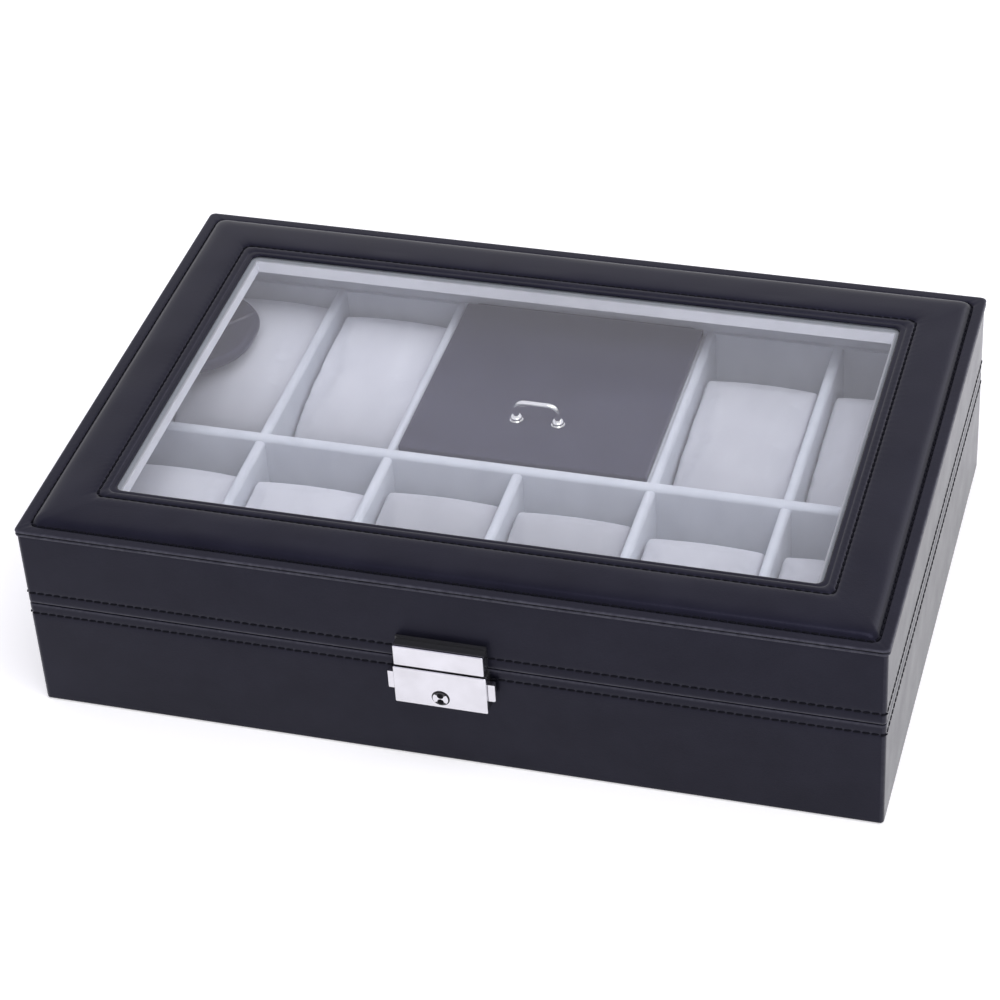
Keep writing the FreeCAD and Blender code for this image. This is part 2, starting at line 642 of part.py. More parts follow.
def lid_top():
    """Padding ring up the board's step and the leather over it, flat at the lip and round the window."""
    half_x = size(f"{HALF_X} + dim.lip_overhang")
    half_y = size(f"{HALF_Y} + dim.lip_overhang")
    low = size(BOARD_TOP)
    high = size(PANEL_TOP)
    layer = size("dim.lip_layer")
    outer = size("dim.lip_overhang + dim.outer_seam")
    step = size("dim.lip_overhang + dim.panel_edge")
    edge = size("dim.lip_overhang + dim.frame_width")
    inner = edge - size("dim.inner_seam")
    middle = (outer + inner) / 2
    crown = high + size("dim.pad_crown")
    climb = ((outer + middle) / 2, low + PAD_ROUND * (crown - low))
    fall = ((middle + inner) / 2, high + PAD_ROUND * (crown - high))
    padding = outline_of((outer, low), (*climb, middle, crown), (*fall, inner, high),
                         (step, high), (step, low))
    node("lid_top_padding", shaped(mitred_frame(padding, half_x, half_y, edge)))
    skin = outline_of((0, low), (0, low + layer), (outer, low + layer),
                      (climb[0], climb[1] + layer, middle, crown + layer),
                      (fall[0], fall[1] + layer, inner, high + layer), (edge, high + layer), (edge, high),
                      (inner, high), (*fall, middle, crown), (*climb, outer, low))
    frame = mitred_frame(skin, half_x, half_y, edge)
    halfway = half_x - edge / 2
    corners = [item for item in frame.Edges if upright(item) and abs(item.Vertexes[0].X) > halfway]
    frame = frame.makeFillet(size("dim.corner_radius + dim.lip_overhang"), corners)
    window = [item for item in frame.Edges if upright(item) and abs(item.Vertexes[0].X) < halfway]
    frame = frame.makeFillet(size("dim.window_radius"), window)
    node("lid_top_leather", shaped(frame))


def lid_linings():
    """Velvet card under the frame board and up its inner edge, and velvet on the lid's walls."""
    inner_x = f"({opening_x()} - dim.window_lining)"
    inner_y = f"({opening_y()} - dim.window_lining)"
    flat = block(both(LID_X), both(LID_Y), (LINING_LOW, BOARD_LOW))
    edge = block(both(opening_x()), both(opening_y()), (LINING_LOW, GLASS_LOW))
    hole = block(both(inner_x), both(inner_y), (LINING_LOW, PANEL_TOP))
    node("window_lining", cut(fuse(flat, edge), hole))
    height = (f"{LID_RIM} + dim.lid_lining_rise", LINING_LOW)
    outside = block(both(LID_X), both(LID_Y), height)
    inside = block(both(f"{LID_X} - dim.lid_lining"), both(f"{LID_Y} - dim.lid_lining"), height)
    node("lid_wall_lining", cut(outside, inside))


def domed_screw(radius, depth, head, dome):
    """A screw along -Z from its seat at z = 0, with a domed head above it."""
    sphere = (head * head + dome * dome) / (2 * dome)
    middle = math.radians(90) - math.asin(head / sphere) / 2
    profile = Part.Wire([
        Part.makeLine(Vector(0, 0, -depth), Vector(radius, 0, -depth)),
        Part.makeLine(Vector(radius, 0, -depth), Vector(radius, 0, 0)),
        Part.makeLine(Vector(radius, 0, 0), Vector(head, 0, 0)),
        Part.Arc(Vector(head, 0, 0),
                 Vector(sphere * math.cos(middle), 0, dome - sphere + sphere * math.sin(middle)),
                 Vector(0, 0, dome)).toShape(),
        Part.makeLine(Vector(0, 0, dome), Vector(0, 0, -depth)),
    ])
    return Part.Face(profile).revolve(Vector(), Z_AXIS, 360)


def leaf_screws(side):
    """Two screws in each hinge's leaf of the lid (+1) or base (-1), heads to the back."""
    shape = domed_screw(size("dim.screw_radius"), size("dim.screw_depth"), size("dim.screw_head"),
                        size("dim.screw_dome"))
    height = f"{PIN_Z} + {side} * (dim.leaf_setback + dim.screw_rise)"
    screws = []
    for hinge in (-1, 1):
        for place in (-1, 1):
            across = f"{hinge} * dim.hinge_x + {place} * dim.screw_spacing / 2"
            screw = shaped(shape)
            screw.Placement = FreeCAD.Placement(Vector(), ALONG_Y)
            screw.setExpression("Placement.Base.x", across)
            screw.setExpression("Placement.Base.y", f"{HALF_Y} + dim.leaf_thickness")
            screw.setExpression("Placement.Base.z", height)
            screws.append(screw)
    return group(*screws)


def hinge_leaf(hinge, side, screws):
    """One leaf with its knuckles: the outer two on the base, the middle one on the lid."""
    middle = f"{hinge} * dim.hinge_x"
    half = "dim.leaf_width / 2"
    knuckle = "dim.knuckle_length / 2"
    clear = f"({knuckle} + dim.knuckle_gap)"
    thickness = (HALF_Y, f"{HALF_Y} + dim.leaf_thickness")
    near = f"{PIN_Z} + {side} * dim.leaf_setback"
    notch = f"{PIN_Z} + {side} * (dim.knuckle_radius + dim.notch_room)"
    far = f"{PIN_Z} + {side} * (dim.leaf_setback + dim.leaf_height)"
    own = [(f"{middle} - {knuckle}", f"{middle} + {knuckle}")]
    other = [(f"{middle} - {half}", f"{middle} - {clear}"), (f"{middle} + {clear}", f"{middle} + {half}")]
    bore = "dim.pin_radius + dim.pin_play"
    if side < 0:
        own, other = other, own
        bore = "dim.pin_radius"
    up = (lambda low, high: (low, high)) if side > 0 else (lambda low, high: (high, low))
    pieces = [block((f"{middle} - {half}", f"{middle} + {half}"), thickness, up(notch, far))]
    for left, right in own:
        pieces.append(block((left, right), thickness, up(near, notch)))
        pieces.append(rod("dim.knuckle_radius", f"{right} - ({left})", (left, PIN_Y, PIN_Z), ALONG_X))
    hole = rod(bore, "dim.leaf_width", (f"{middle} - {half}", PIN_Y, PIN_Z), ALONG_X)
    return cut(fuse(*pieces), hole, screws)


def hinges():
    """Both hinges: leaves on the outside of the back, and their pins."""
    node("hinge_base_leaves", group(*(hinge_leaf(hinge, -1, base_screws) for hinge in (-1, 1))))
    node("hinge_lid_leaves", group(*(hinge_leaf(hinge, 1, lid_screws) for hinge in (-1, 1))))
    pins = []
    for hinge in (-1, 1):
        start = (f"{hinge} * dim.hinge_x - dim.leaf_width / 2", PIN_Y, PIN_Z)
        pins.append(rod("dim.pin_radius", "dim.leaf_width", start, ALONG_X))
    node("hinge_pins", group(*pins))
    node("hinge_base_screws", base_screws)
    node("hinge_lid_screws", lid_screws)


def front_edge(half_width, low, high):
    """A test for the outer edges of a lock plate's front face and of its corners."""
    front = -size(LOCK_FRONT)

    def keep(edge):
        on_side = level(edge, "x", half_width) or level(edge, "x", -half_width)
        on_end = level(edge, "z", low) or level(edge, "z", high)
        return (level(edge, "y", front) and (on_side or on_end)) or (on_side and on_end)

    return keep


def make_lock_case():
    """Lower half of the lock: a shell open to the back, on two fixing posts."""
    body = new_body("case_shell")
    half = "dim.case_width / 2"
    outside = sketch_on(body, "XZ_Plane", HALF_Y)
    rectangle(outside, both(half), (CASE_LOW, CASE_TOP))
    pad(body, outside, "dim.lock_depth")
    round_edges(body, "dim.lock_round", front_edge(size(half), size(CASE_LOW), size(CASE_TOP)))
    inside = sketch_on(body, "XZ_Plane", HALF_Y)
    rectangle(inside, both(f"{half} - dim.case_wall"),
              (f"{CASE_LOW} + dim.case_wall", f"{CASE_TOP} - dim.case_wall"))
    pocket(body, inside, "dim.lock_depth - dim.case_wall", True)
    slot = sketch_on(body, "XY_Plane", CASE_TOP)
    tongue_front = f"-({LOCK_FRONT} - dim.tongue_inset)"
    rectangle(slot, both("dim.tongue_width / 2 + dim.tongue_room"),
              (f"{tongue_front} - dim.tongue_room",
               f"{tongue_front} + dim.tongue_thickness + dim.tongue_room"))
    pocket(body, slot, "dim.case_wall")
    windows = sketch_on(body, "YZ_Plane", f"-({half})")
    button_front = f"-({LOCK_FRONT} - dim.button_inset)"
    button_low = f"{CASE_LOW} + dim.button_rise"
    rectangle(windows,
              (f"{button_front} - dim.button_room",
               f"{button_front} + dim.button_thickness + dim.button_room"),
              (f"{button_low} - dim.button_room", f"{button_low} + dim.button_height + dim.button_room"))
    pocket(body, windows, "dim.case_width", True)
    keyway = sketch_on(body, "XZ_Plane", HALF_Y)
    circle(keyway, "0", f"{CASE_LOW} + dim.barrel_rise", "dim.barrel_radius + dim.barrel_play")
    pocket(body, keyway, "dim.lock_depth", True)
    posts = sketch_on(body, "XZ_Plane", WALL_Y)
    for side in (-1, 1):
        circle(posts, f"{side} * dim.post_spacing / 2", f"{CASE_LOW} + dim.case_wall + dim.post_height",
               "dim.post_radius")
    pad(body, posts, f"{LOCK_FRONT} - dim.case_wall - {WALL_Y}")
    return body


def make_latch_catch():
    """Upper half of the lock: block, flange, notched tongue and fixing posts."""
    body = new_body("catch_plate")
    half = "dim.catch_width / 2"
    top = f"{CATCH_LOW} + dim.catch_height"
    outside = sketch_on(body, "XZ_Plane", HALF_Y)
    rectangle(outside, both(half), (CATCH_LOW, top))
    pad(body, outside, "dim.lock_depth")
    round_edges(body, "dim.lock_round", front_edge(size(half), size(CATCH_LOW), size(top)))
    flange = sketch_on(body, "XZ_Plane", HALF_Y)
    rectangle(flange, both(half), (f"{CATCH_LOW} + dim.catch_height / 2", f"{top} + dim.flange_height"))
    pad(body, flange, "dim.flange_thickness")
    tongue_back = f"{LOCK_FRONT} - dim.tongue_inset - dim.tongue_thickness"
    tongue = sketch_on(body, "XZ_Plane", tongue_back)
    tip = f"{CATCH_LOW} - dim.tongue_length"
    rectangle(tongue, both("dim.tongue_width / 2"), (tip, f"{CATCH_LOW} + dim.catch_height / 2"))
    pad(body, tongue, "dim.tongue_thickness")
    notches = sketch_on(body, "XZ_Plane", tongue_back)
    notch_x = ("dim.tongue_width / 2 - dim.notch_depth", "dim.tongue_width / 2 + dim.notch_depth")
    notch_z = (f"{tip} + dim.notch_rise", f"{tip} + dim.notch_rise + dim.notch_height")
    for side in (-1, 1):
        rectangle(notches, mirrored(side, *notch_x), notch_z)
    pocket(body, notches, "dim.tongue_thickness", True)
    posts = sketch_on(body, "XZ_Plane", LID_Y)
    for side in (-1, 1):
        circle(posts, f"{side} * dim.catch_post_spacing / 2", f"{CATCH_LOW} + dim.catch_height / 2",
               "dim.post_radius")
    pad(body, posts, f"{HALF_Y} - {LID_Y} + dim.flange_thickness")
    return body


def button(side, arm_place):
    """A side button: tab, shoulder, and an arm behind the tongue to a tooth on its far side."""
    low = f"{CASE_LOW} + dim.button_rise"
    high = f"{low} + dim.button_height"
    front = f"-({LOCK_FRONT} - dim.button_inset)"
    depth = (front, f"{front} + dim.button_thickness")
    outer = "dim.case_width / 2 + dim.button_reach"
    wall = "dim.case_width / 2 - dim.case_wall"
    inner = f"{wall} - dim.button_depth"
    tab = block(mirrored(side, inner, outer), depth, (low, high))
    reach = size(outer)
    tab = soften(tab, "dim.button_round", lambda edge: level(edge, "x", side * reach))
    shoulder_out = f"{wall} - dim.button_room"
    shoulder = block(mirrored(side, f"{shoulder_out} - dim.shoulder_width", shoulder_out), depth,
                     (f"{low} - dim.shoulder", f"{high} + dim.shoulder"))
    arm_high = f"{high} - dim.arm_top - {arm_place} * dim.arm_step"
    arm_height = (f"{arm_high} - dim.arm_height", arm_high)
    tongue_front = f"-({LOCK_FRONT} - dim.tongue_inset)"
    arm_front = f"{tongue_front} + dim.tongue_thickness + dim.arm_gap"
    arm_back = f"{arm_front} + dim.arm_thickness"
    tooth_near = "dim.tongue_width / 2 + dim.tooth_gap"
    tooth_far = f"{tooth_near} + dim.tooth_width"
    root = f"{inner} + dim.shoulder_width"
    arm = block(mirrored(side, f"-({tooth_far})", root), (arm_front, arm_back), arm_height)
    web = block(mirrored(side, inner, root), (f"{front} + dim.button_thickness / 2", arm_back), arm_height)
    tooth = block(mirrored(-side, tooth_near, tooth_far), (tongue_front, arm_back), arm_height)
    return fuse(tab, shoulder, arm, web, tooth)


def key_barrel():
    """Turning key barrel with two round keyhole notches in its face and a cam behind it."""
    body = new_body("barrel")
    height = f"{CASE_LOW} + dim.barrel_rise"
    back = f"{LOCK_FRONT} + dim.barrel_proud - dim.barrel_length"
    plug = sketch_on(body, "XZ_Plane", back)
    circle(plug, "0", height, "dim.barrel_radius")
    pad(body, plug, "dim.barrel_length")
    face = sketch_on(body, "XZ_Plane", f"{LOCK_FRONT} + dim.barrel_proud")
    for side in (-1, 1):
        circle(face, "0", f"{height} + {side} * dim.keyhole_offset", "dim.keyhole_radius")
    pocket(body, face, "dim.keyhole_depth")
    cam = sketch_on(body, "XZ_Plane", f"{back} - dim.cam_thickness")
    rectangle(cam, both("dim.cam_width / 2"), (f"{height} - dim.cam_length", f"{height} + dim.cam_width / 2"))
    pad(body, cam, "dim.cam_thickness")
    node("lock_barrel", body)


def bow_spring():
    """A bowed leaf over the barrel that pushes both buttons out."""
    end = size("dim.case_width / 2 - dim.case_wall - dim.button_depth - dim.spring_gap")
    low = size(f"{CASE_LOW} + dim.button_rise + dim.spring_rise")
    crest = low + size("dim.spring_bow")
    leaf = size("dim.spring_leaf")
    outline = outline_of((-end, low), (0, crest, end, low), (end, low + leaf),
                         (0, crest + leaf, -end, low + leaf))
    shape = Part.Face(outline).extrude(Vector(0, size("dim.spring_width"), 0))
    piece = shaped(shape)
    piece.setExpression("Placement.Base.y", f"-({LOCK_FRONT} - dim.button_inset)")
    return piece


def lock():
    """Both halves of the lock and what moves in them."""
    node("lock_case", lock_case)
    node("latch_catch", latch_catch)
    node("left_button", button(-1, 0))
    node("right_button", button(1, 1))
    node("lock_spring", bow_spring())
    key_barrel()


def ribbon_outline(start, heading, steps, thickness):
    """Closed outline in the XZ plane of a band that runs (length,) forward or turns by (radius, degrees)."""
    sides = {half: [beside(start, heading, half)] for half in (thickness / 2, -thickness / 2)}
    place = start
    for step in steps:
        if len(step) == 1:
            angle = math.radians(heading)
            place = (place[0] + step[0] * math.cos(angle), place[1] + step[0] * math.sin(angle))
            for half, side in sides.items():
                side.append(beside(place, heading, half))
            continue
        radius, degrees = step
        hand = 1 if degrees > 0 else -1
        centre = beside(place, heading, hand * radius)
        for half, side in sides.items():
            middle = beside(centre, heading + degrees / 2, half - hand * radius)
            side.append(middle + beside(centre, heading + degrees, half - hand * radius))
        heading += degrees
        place = beside(centre, heading, -hand * radius)
    left, right = sides.values()
    back = [right[-1][-2:]]
    for here, before in zip(right[:0:-1], right[-2::-1]):
        back.append(here[:-2] + before[-2:])
    return outline_of(*left, *back)


def beside(place, heading, distance):
    """A point to the left of a place, seen along the heading."""
    angle = math.radians(heading + 90)
    return (place[0] + distance * math.cos(angle), place[1] + distance * math.sin(angle))


def make_strap():
    """Leather stay strap, folded inward: up behind the liner, out and back, up the lid's lining."""
    thickness = size("dim.strap_thickness")
    bend = size("dim.strap_bend")
    fold = size("dim.strap_fold")
    tail_x = -size(WALL_X) + thickness / 2
    lid_x = -size(f"{LID_X} - dim.lid_lining") + thickness / 2
    start = (tail_x, size(f"{LINER_TOP} - dim.strap_tail"))
    outlines = []
    for share, reach in ((0, "dim.strap_front_fold"), (0.32, "dim.strap_middle_fold"),
                         (0.7, "dim.strap_middle_fold"), (1, "dim.strap_back_fold")):
        tip = -size(f"{LINER_X} - {reach}") - fold
        steps = ((size("dim.strap_tail"),), (bend, -90), (tip - tail_x - bend,), (fold, 90), (fold, 90),
                 (tip - lid_x - bend,), (bend, -90), (size("dim.strap_lid_tail"),))
        outline = ribbon_outline(start, 90, steps, thickness)
        outline.translate(Vector(0, size(f"dim.strap_front + {share} * dim.strap_width"), 0))
        outlines.append(outline)
    return shaped(Part.makeLoft(outlines, True, True))


def make_handle_screws():
    """Two screws from under the inner lid into the feet of its handle."""
    depth = size(f"{INNER_TOP} - {INNER_LOW} + dim.handle_screw_grip")
    shape = domed_screw(size("dim.handle_screw / 2"), depth, size("dim.handle_screw_head / 2"),
                        size("dim.handle_screw_dome"))
    screws = []
    for side in (-1, 1):
        screw = shaped(shape)
        screw.Placement = FreeCAD.Placement(Vector(), FreeCAD.Rotation(X_AXIS, 180))
        screw.setExpression("Placement.Base.x", f"{side} * dim.handle_spacing / 2")
        screw.setExpression("Placement.Base.y", HANDLE_Y)
        screw.setExpression("Placement.Base.z", INNER_LOW)
        screws.append(screw)
    return group(*screws)


def inner_lid():
    """Board, leather and lining of the inner lid, the ledges under it and the strip that it turns on."""
    ledge = (f"{BAY_X} - dim.ledge_width", BAY_X)
    height = (f"{INNER_LOW} - dim.ledge_height", INNER_LOW)
    ledges = [block(mirrored(side, *ledge), (ROW_BACK, LINER_Y), height) for side in (-1, 1)]
    node("inner_lid_ledges", group(*ledges))
    edge = "dim.inner_lid_leather"
    inside_x = both(f"{INNER_X} - {edge}")
    inside_y = (f"{INNER_FRONT} + {edge}", f"{INNER_BACK} - {edge}")
    board = block(inside_x, inside_y, (INNER_BOARD_LOW, INNER_BOARD_TOP))
    cover = block(both(INNER_X), (INNER_FRONT, INNER_BACK), (INNER_BOARD_LOW, INNER_TOP))
    top = size(INNER_TOP)
    back = size(INNER_BACK)
    cover = soften(cover, "dim.inner_lid_round",
                   lambda item: level(item, "z", top) and not level(item, "y", back))
    node("inner_lid_board", cut(board, handle_screws))
    node("inner_lid_leather", cut(cover, board, handle_screws))
    lining = block(inside_x, inside_y, (INNER_LOW, INNER_BOARD_LOW))
    node("inner_lid_lining", cut(lining, handle_screws))
    thickness = size(edge)
    drop = size(f"{INNER_TOP} - {edge} - {LINER_TOP}")
    bend = size("dim.strip_bend")
    turn = math.degrees(math.acos(1 - drop / (2 * bend)))
    outline = ribbon_outline((back, top - thickness / 2), 0,
                             ((bend, -turn), (bend, turn), (size("dim.strip_foot"),)), thickness)
    outline.rotate(Vector(), Z_AXIS, 90)
    outline.translate(Vector(size("dim.strip_width") / 2, 0, 0))
    strip = Part.Face(outline).extrude(Vector(-size("dim.strip_width"), 0, 0))
    node("inner_lid_hinge_strip", shaped(strip))


def handle():
    """Bent wire handle of the inner lid, with a turned collar at each foot."""
    half = size("dim.handle_spacing / 2")
    low = size(INNER_TOP)
    high = low + size("dim.handle_height")
    bend = size("dim.handle_bend")
    slant = bend * math.sqrt(0.5)
    path = [Part.makeLine(Vector(-half, 0, low), Vector(-half, 0, high - bend)),
            Part.Arc(Vector(-half, 0, high - bend), Vector(bend - half - slant, 0, high - bend + slant),
                     Vector(bend - half, 0, high)).toShape(),
            Part.makeLine(Vector(bend - half, 0, high), Vector(half - bend, 0, high)),
            Part.Arc(Vector(half - bend, 0, high), Vector(half - bend + slant, 0, high - bend + slant),
                     Vector(half, 0, high - bend)).toShape(),
            Part.makeLine(Vector(half, 0, high - bend), Vector(half, 0, low))]
    wire = size("dim.handle_wire / 2")
    section = Part.Wire(Part.makeCircle(wire, Vector(-half, 0, low), Z_AXIS))
    bow = shaped(Part.Wire(path).makePipeShell([section], True, False))
    bow.setExpression("Placement.Base.y", HANDLE_Y)
    node("inner_lid_handle", cut(bow, handle_screws))
    flange = size("dim.collar_diameter / 2")
    step = size("dim.collar_flange")
    rise = size("dim.collar_height")
    bulge = (flange + wire) / 2
    profile = outline_of((wire, 0), (flange, 0), (flange, step), (bulge, step),
                         (bulge + (rise - step) / 4, (step + rise) / 2, bulge, rise), (wire, rise))
    collars = []
    for side in (-1, 1):
        collar = shaped(Part.Face(profile).revolve(Vector(), Z_AXIS, 360))
        collar.setExpression("Placement.Base.x", f"{side} * dim.handle_spacing / 2")
        collar.setExpression("Placement.Base.y", HANDLE_Y)
        collar.setExpression("Placement.Base.z", INNER_TOP)
        collars.append(collar)
    node("handle_collars", group(*collars))
    node("handle_screws", handle_screws)


def write_parts():
    """Check every object of the document, then write one file for each node."""
    doc.recompute()
    for item in doc.Objects:
        if {"Invalid", "Error"} & set(item.State):
            raise RuntimeError(f"{item.Label} is {item.State}")
    for piece in nodes:
        if piece.Shape.isNull() or not piece.Shape.isValid() or not piece.Shape.Solids:
            raise RuntimeError(f"{piece.Label} has no valid shape")
    os.makedirs("parts", exist_ok=True)
    for piece in nodes:
        piece.Shape.exportStep(f"parts/{piece.Label}.step")
        print(piece.Label, len(piece.Shape.Solids), "solids", round(piece.Shape.Volume, 1), "mm3")


# Pieces that cut their own seats in others come first
strap = make_strap()
lock_case = make_lock_case()
latch_catch = make_latch_catch()
base_screws = leaf_screws(-1)
lid_screws = leaf_screws(1)
handle_screws = make_handle_screws()

base_carcass()
base_leather()
tray()
dividers()
pillows()
lid_carcass()
lid_side_leather()
lid_top()
lid_linings()
hinges()
lock()
inner_lid()
handle()
node("lid_stay_strap", strap)
write_parts()
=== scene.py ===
# %% [markdown]
# # A leather watch box with a glass lid
# The box has a black leather skin sewn over thin boards, a padded frame round a glass pane, a velvet
# tray with ten pillows, a small lidded compartment and a bright press lock. Its boards, velvet cards,
# glass and metalwork arrive as finished solids. This lesson sews the leather, fills the pillows, folds
# the strap and gives every surface its finish.

# %% Load the solids
import math

import bmesh
import bpy
import numpy as np
from mathutils import Matrix, Vector


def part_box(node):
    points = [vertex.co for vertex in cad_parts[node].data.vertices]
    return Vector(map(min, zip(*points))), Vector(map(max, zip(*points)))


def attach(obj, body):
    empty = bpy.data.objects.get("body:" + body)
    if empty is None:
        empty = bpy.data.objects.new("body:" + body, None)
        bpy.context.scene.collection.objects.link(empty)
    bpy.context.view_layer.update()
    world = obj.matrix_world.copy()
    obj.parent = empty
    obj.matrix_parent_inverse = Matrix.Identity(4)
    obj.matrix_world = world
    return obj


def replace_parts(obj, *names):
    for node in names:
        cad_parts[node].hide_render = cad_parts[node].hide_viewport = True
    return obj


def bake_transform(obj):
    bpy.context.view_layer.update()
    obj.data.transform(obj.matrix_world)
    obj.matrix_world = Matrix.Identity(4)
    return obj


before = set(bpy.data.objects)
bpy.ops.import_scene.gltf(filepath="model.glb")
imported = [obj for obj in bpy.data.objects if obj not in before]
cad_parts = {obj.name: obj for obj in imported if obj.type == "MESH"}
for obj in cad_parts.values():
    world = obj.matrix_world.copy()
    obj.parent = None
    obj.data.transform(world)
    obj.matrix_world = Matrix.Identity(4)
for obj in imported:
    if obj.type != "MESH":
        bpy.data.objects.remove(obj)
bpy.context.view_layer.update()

MM = 0.001

# %% [markdown]
# ## The camera
# The picture is taken from in front, a little to the right and well above, with a long lens and a
# slight tilt. A camera is a frame of three arrows: right, up and back. Working them out from the angles
# is clearer than turning the camera by hand, and the tilt is one more turn of the first two.

# %% Place the camera
AZIMUTH, ELEVATION, TILT = (math.radians(angle) for angle in (18.044, 38.174, -3.948))
AIM = np.array((-6.48, -6.12, 40.0)) * MM
DISTANCE = 1.1345
ZOOM = 3.1621
back = np.array((math.sin(AZIMUTH) * math.cos(ELEVATION), -math.cos(AZIMUTH) * math.cos(ELEVATION),
                 math.sin(ELEVATION)))
level = np.cross((0, 0, 1), back)
level /= np.linalg.norm(level)
upward = np.cross(back, level)
right = math.cos(TILT) * level + math.sin(TILT) * upward
above = math.cos(TILT) * upward - math.sin(TILT) * level
lens = bpy.data.cameras.new("camera")
lens.sensor_width = 36.0
lens.lens = ZOOM * lens.sensor_width
camera = bpy.data.objects.new("camera", lens)
stand = np.eye(4)
stand[:3, :3] = np.column_stack((right, above, back))
stand[:3, 3] = AIM + DISTANCE * back
camera.matrix_world = Matrix(stand.tolist())
bpy.context.scene.collection.objects.link(camera)
bpy.context.scene.camera = camera
print("camera stands at", np.round(stand[:3, 3], 3))

# %% [markdown]
# ## Surfaces from arrays
# Nearly every soft piece here is a sheet: a grid of points with rows and columns. One helper turns such
# a grid into a mesh, closes it in either direction, and turns its faces outward by checking the sign
# of the volume that it encloses. Points that fall together, as at a tip, are welded.

# %% Turn a grid into a piece
def piece_from_faces(name, points, faces, weld=False):
    """A smooth mesh object from points in millimetres and rows of corner numbers, at the origin."""
    mesh = bpy.data.meshes.new(name)
    mesh.from_pydata((points * MM).tolist(), [], faces.tolist())
    if weld:
        work = bmesh.new()
        work.from_mesh(mesh)
        bmesh.ops.remove_doubles(work, verts=work.verts, dist=1e-7)
        bmesh.ops.dissolve_degenerate(work, edges=work.edges, dist=1e-8)
        work.to_mesh(mesh)
        work.free()
    mesh.polygons.foreach_set("use_smooth", np.ones(len(mesh.polygons), bool))
    piece = bpy.data.objects.new(name, mesh)
    bpy.context.scene.collection.objects.link(piece)
    return piece


def quads(rows, columns, round_rows=False, round_columns=True):
    """Corner numbers of the squares of a grid, joined end to start where it runs round."""
    number = np.arange(rows * columns).reshape(rows, columns)
    if round_rows:
        number = np.vstack((number, number[:1]))
    if round_columns:
        number = np.hstack((number, number[:, :1]))
    return np.stack((number[:-1, :-1], number[:-1, 1:], number[1:, 1:], number[1:, :-1]), -1).reshape(-1, 4)


def outward(points, faces):
    """The same faces, turned round if six times the volume, the sum of a . (b x c), is negative."""
    a, b, c, d = (points[faces[:, corner]] for corner in range(4))
    volume = np.sum(a * (np.cross(b, c) + np.cross(c, d)))
    return faces if volume > 0 else faces[:, ::-1]


def grid_piece(name, grid, round_rows=False, round_columns=True, weld=False):
    """A piece from a grid of points of shape (rows, columns, 3)."""
    points = grid.reshape(-1, 3)
    faces = outward(points, quads(grid.shape[0], grid.shape[1], round_rows, round_columns))
    piece = piece_from_faces(name, points, faces, weld)
    print(name, len(piece.data.polygons), "faces")
    return piece

# %% [markdown]
# ## Finishes
# A finish is a small tree of nodes round one shader. All patterns read Object coordinates, scaled so
# that one unit is a millimetre, which keeps grain and weave at their real size on every piece. The
# helpers below add a node, feed it and hand back its output.

# %% Helpers for finishes
def add(tree, kind, output=0, settings=(), **feeds):
    """A new node with its settings and inputs; a feed is a value or another node's output."""
    item = tree.nodes.new(kind)
    for key, value in dict(settings).items():
        setattr(item, key, value)
    for key, value in feeds.items():
        socket = item.inputs[int(key[1:]) if key[1:].isdigit() else key.replace("_", " ")]
        if isinstance(value, bpy.types.NodeSocket):
            tree.links.new(value, socket)
        else:
            socket.default_value = value
    return item.outputs[output]


def new_finish(name, **sockets):
    """A material with plain values on its shader, and its coordinates in millimetres."""
    finish = bpy.data.materials.new(name)
    finish.use_nodes = True
    tree = finish.node_tree
    shader = tree.nodes["Principled BSDF"]
    for key, value in sockets.items():
        shader.inputs[key.replace("_", " ")].default_value = value
    place = add(tree, "ShaderNodeTexCoord", "Object")
    place = add(tree, "ShaderNodeMapping", Vector=place, Scale=(1000, 1000, 1000))
    return finish, tree, shader, place


def noise(tree, place, scale, detail=3.0, stretch=None):
    """Cloudy pattern with so many clouds to the millimetre, drawn out along an axis by stretch."""
    if stretch:
        place = add(tree, "ShaderNodeMapping", Vector=place, Scale=stretch)
    return add(tree, "ShaderNodeTexNoise", "Fac", Vector=place, Scale=scale, Detail=detail)


def maths(tree, operation, *inputs):
    """Result of an operation on numbers or on other nodes' outputs."""
    feeds = {f"i{number}": value for number, value in enumerate(inputs)}
    return add(tree, "ShaderNodeMath", 0, {"operation": operation}, **feeds)


def mixed(tree, factor, first, second):
    """Colour that goes from the first to the second as the factor goes from 0 to 1."""
    return add(tree, "ShaderNodeMix", 2, {"data_type": "RGBA"}, i0=factor, i6=first, i7=second)


def ranged(tree, factor, low=0.0, high=1.0):
    """Value from low to high as the factor goes from 0.3 to 0.7, which is where noise mostly lies."""
    return add(tree, "ShaderNodeMapRange", Value=factor, From_Min=0.3, From_Max=0.7,
               To_Min=low, To_Max=high)


def between(tree, factor, low, high):
    """Colour from low to high over the same range."""
    return mixed(tree, ranged(tree, factor), (*low, 1), (*high, 1))


def feed(tree, shader, **feeds):
    """Links outputs to the shader's inputs."""
    for key, value in feeds.items():
        tree.links.new(value, shader.inputs[key.replace("_", " ")])


def bumped(tree, height, depth, strength=1.0, normal=None):
    """Surface direction tilted by a height pattern of so many millimetres."""
    feeds = {"Normal": normal} if normal else {}
    return add(tree, "ShaderNodeBump", 0, Height=height, Distance=depth * MM, Strength=strength, **feeds)


def dress(piece, finish):
    """Gives a piece's mesh one finish in place of any other."""
    piece.data.materials.clear()
    piece.data.materials.append(finish)
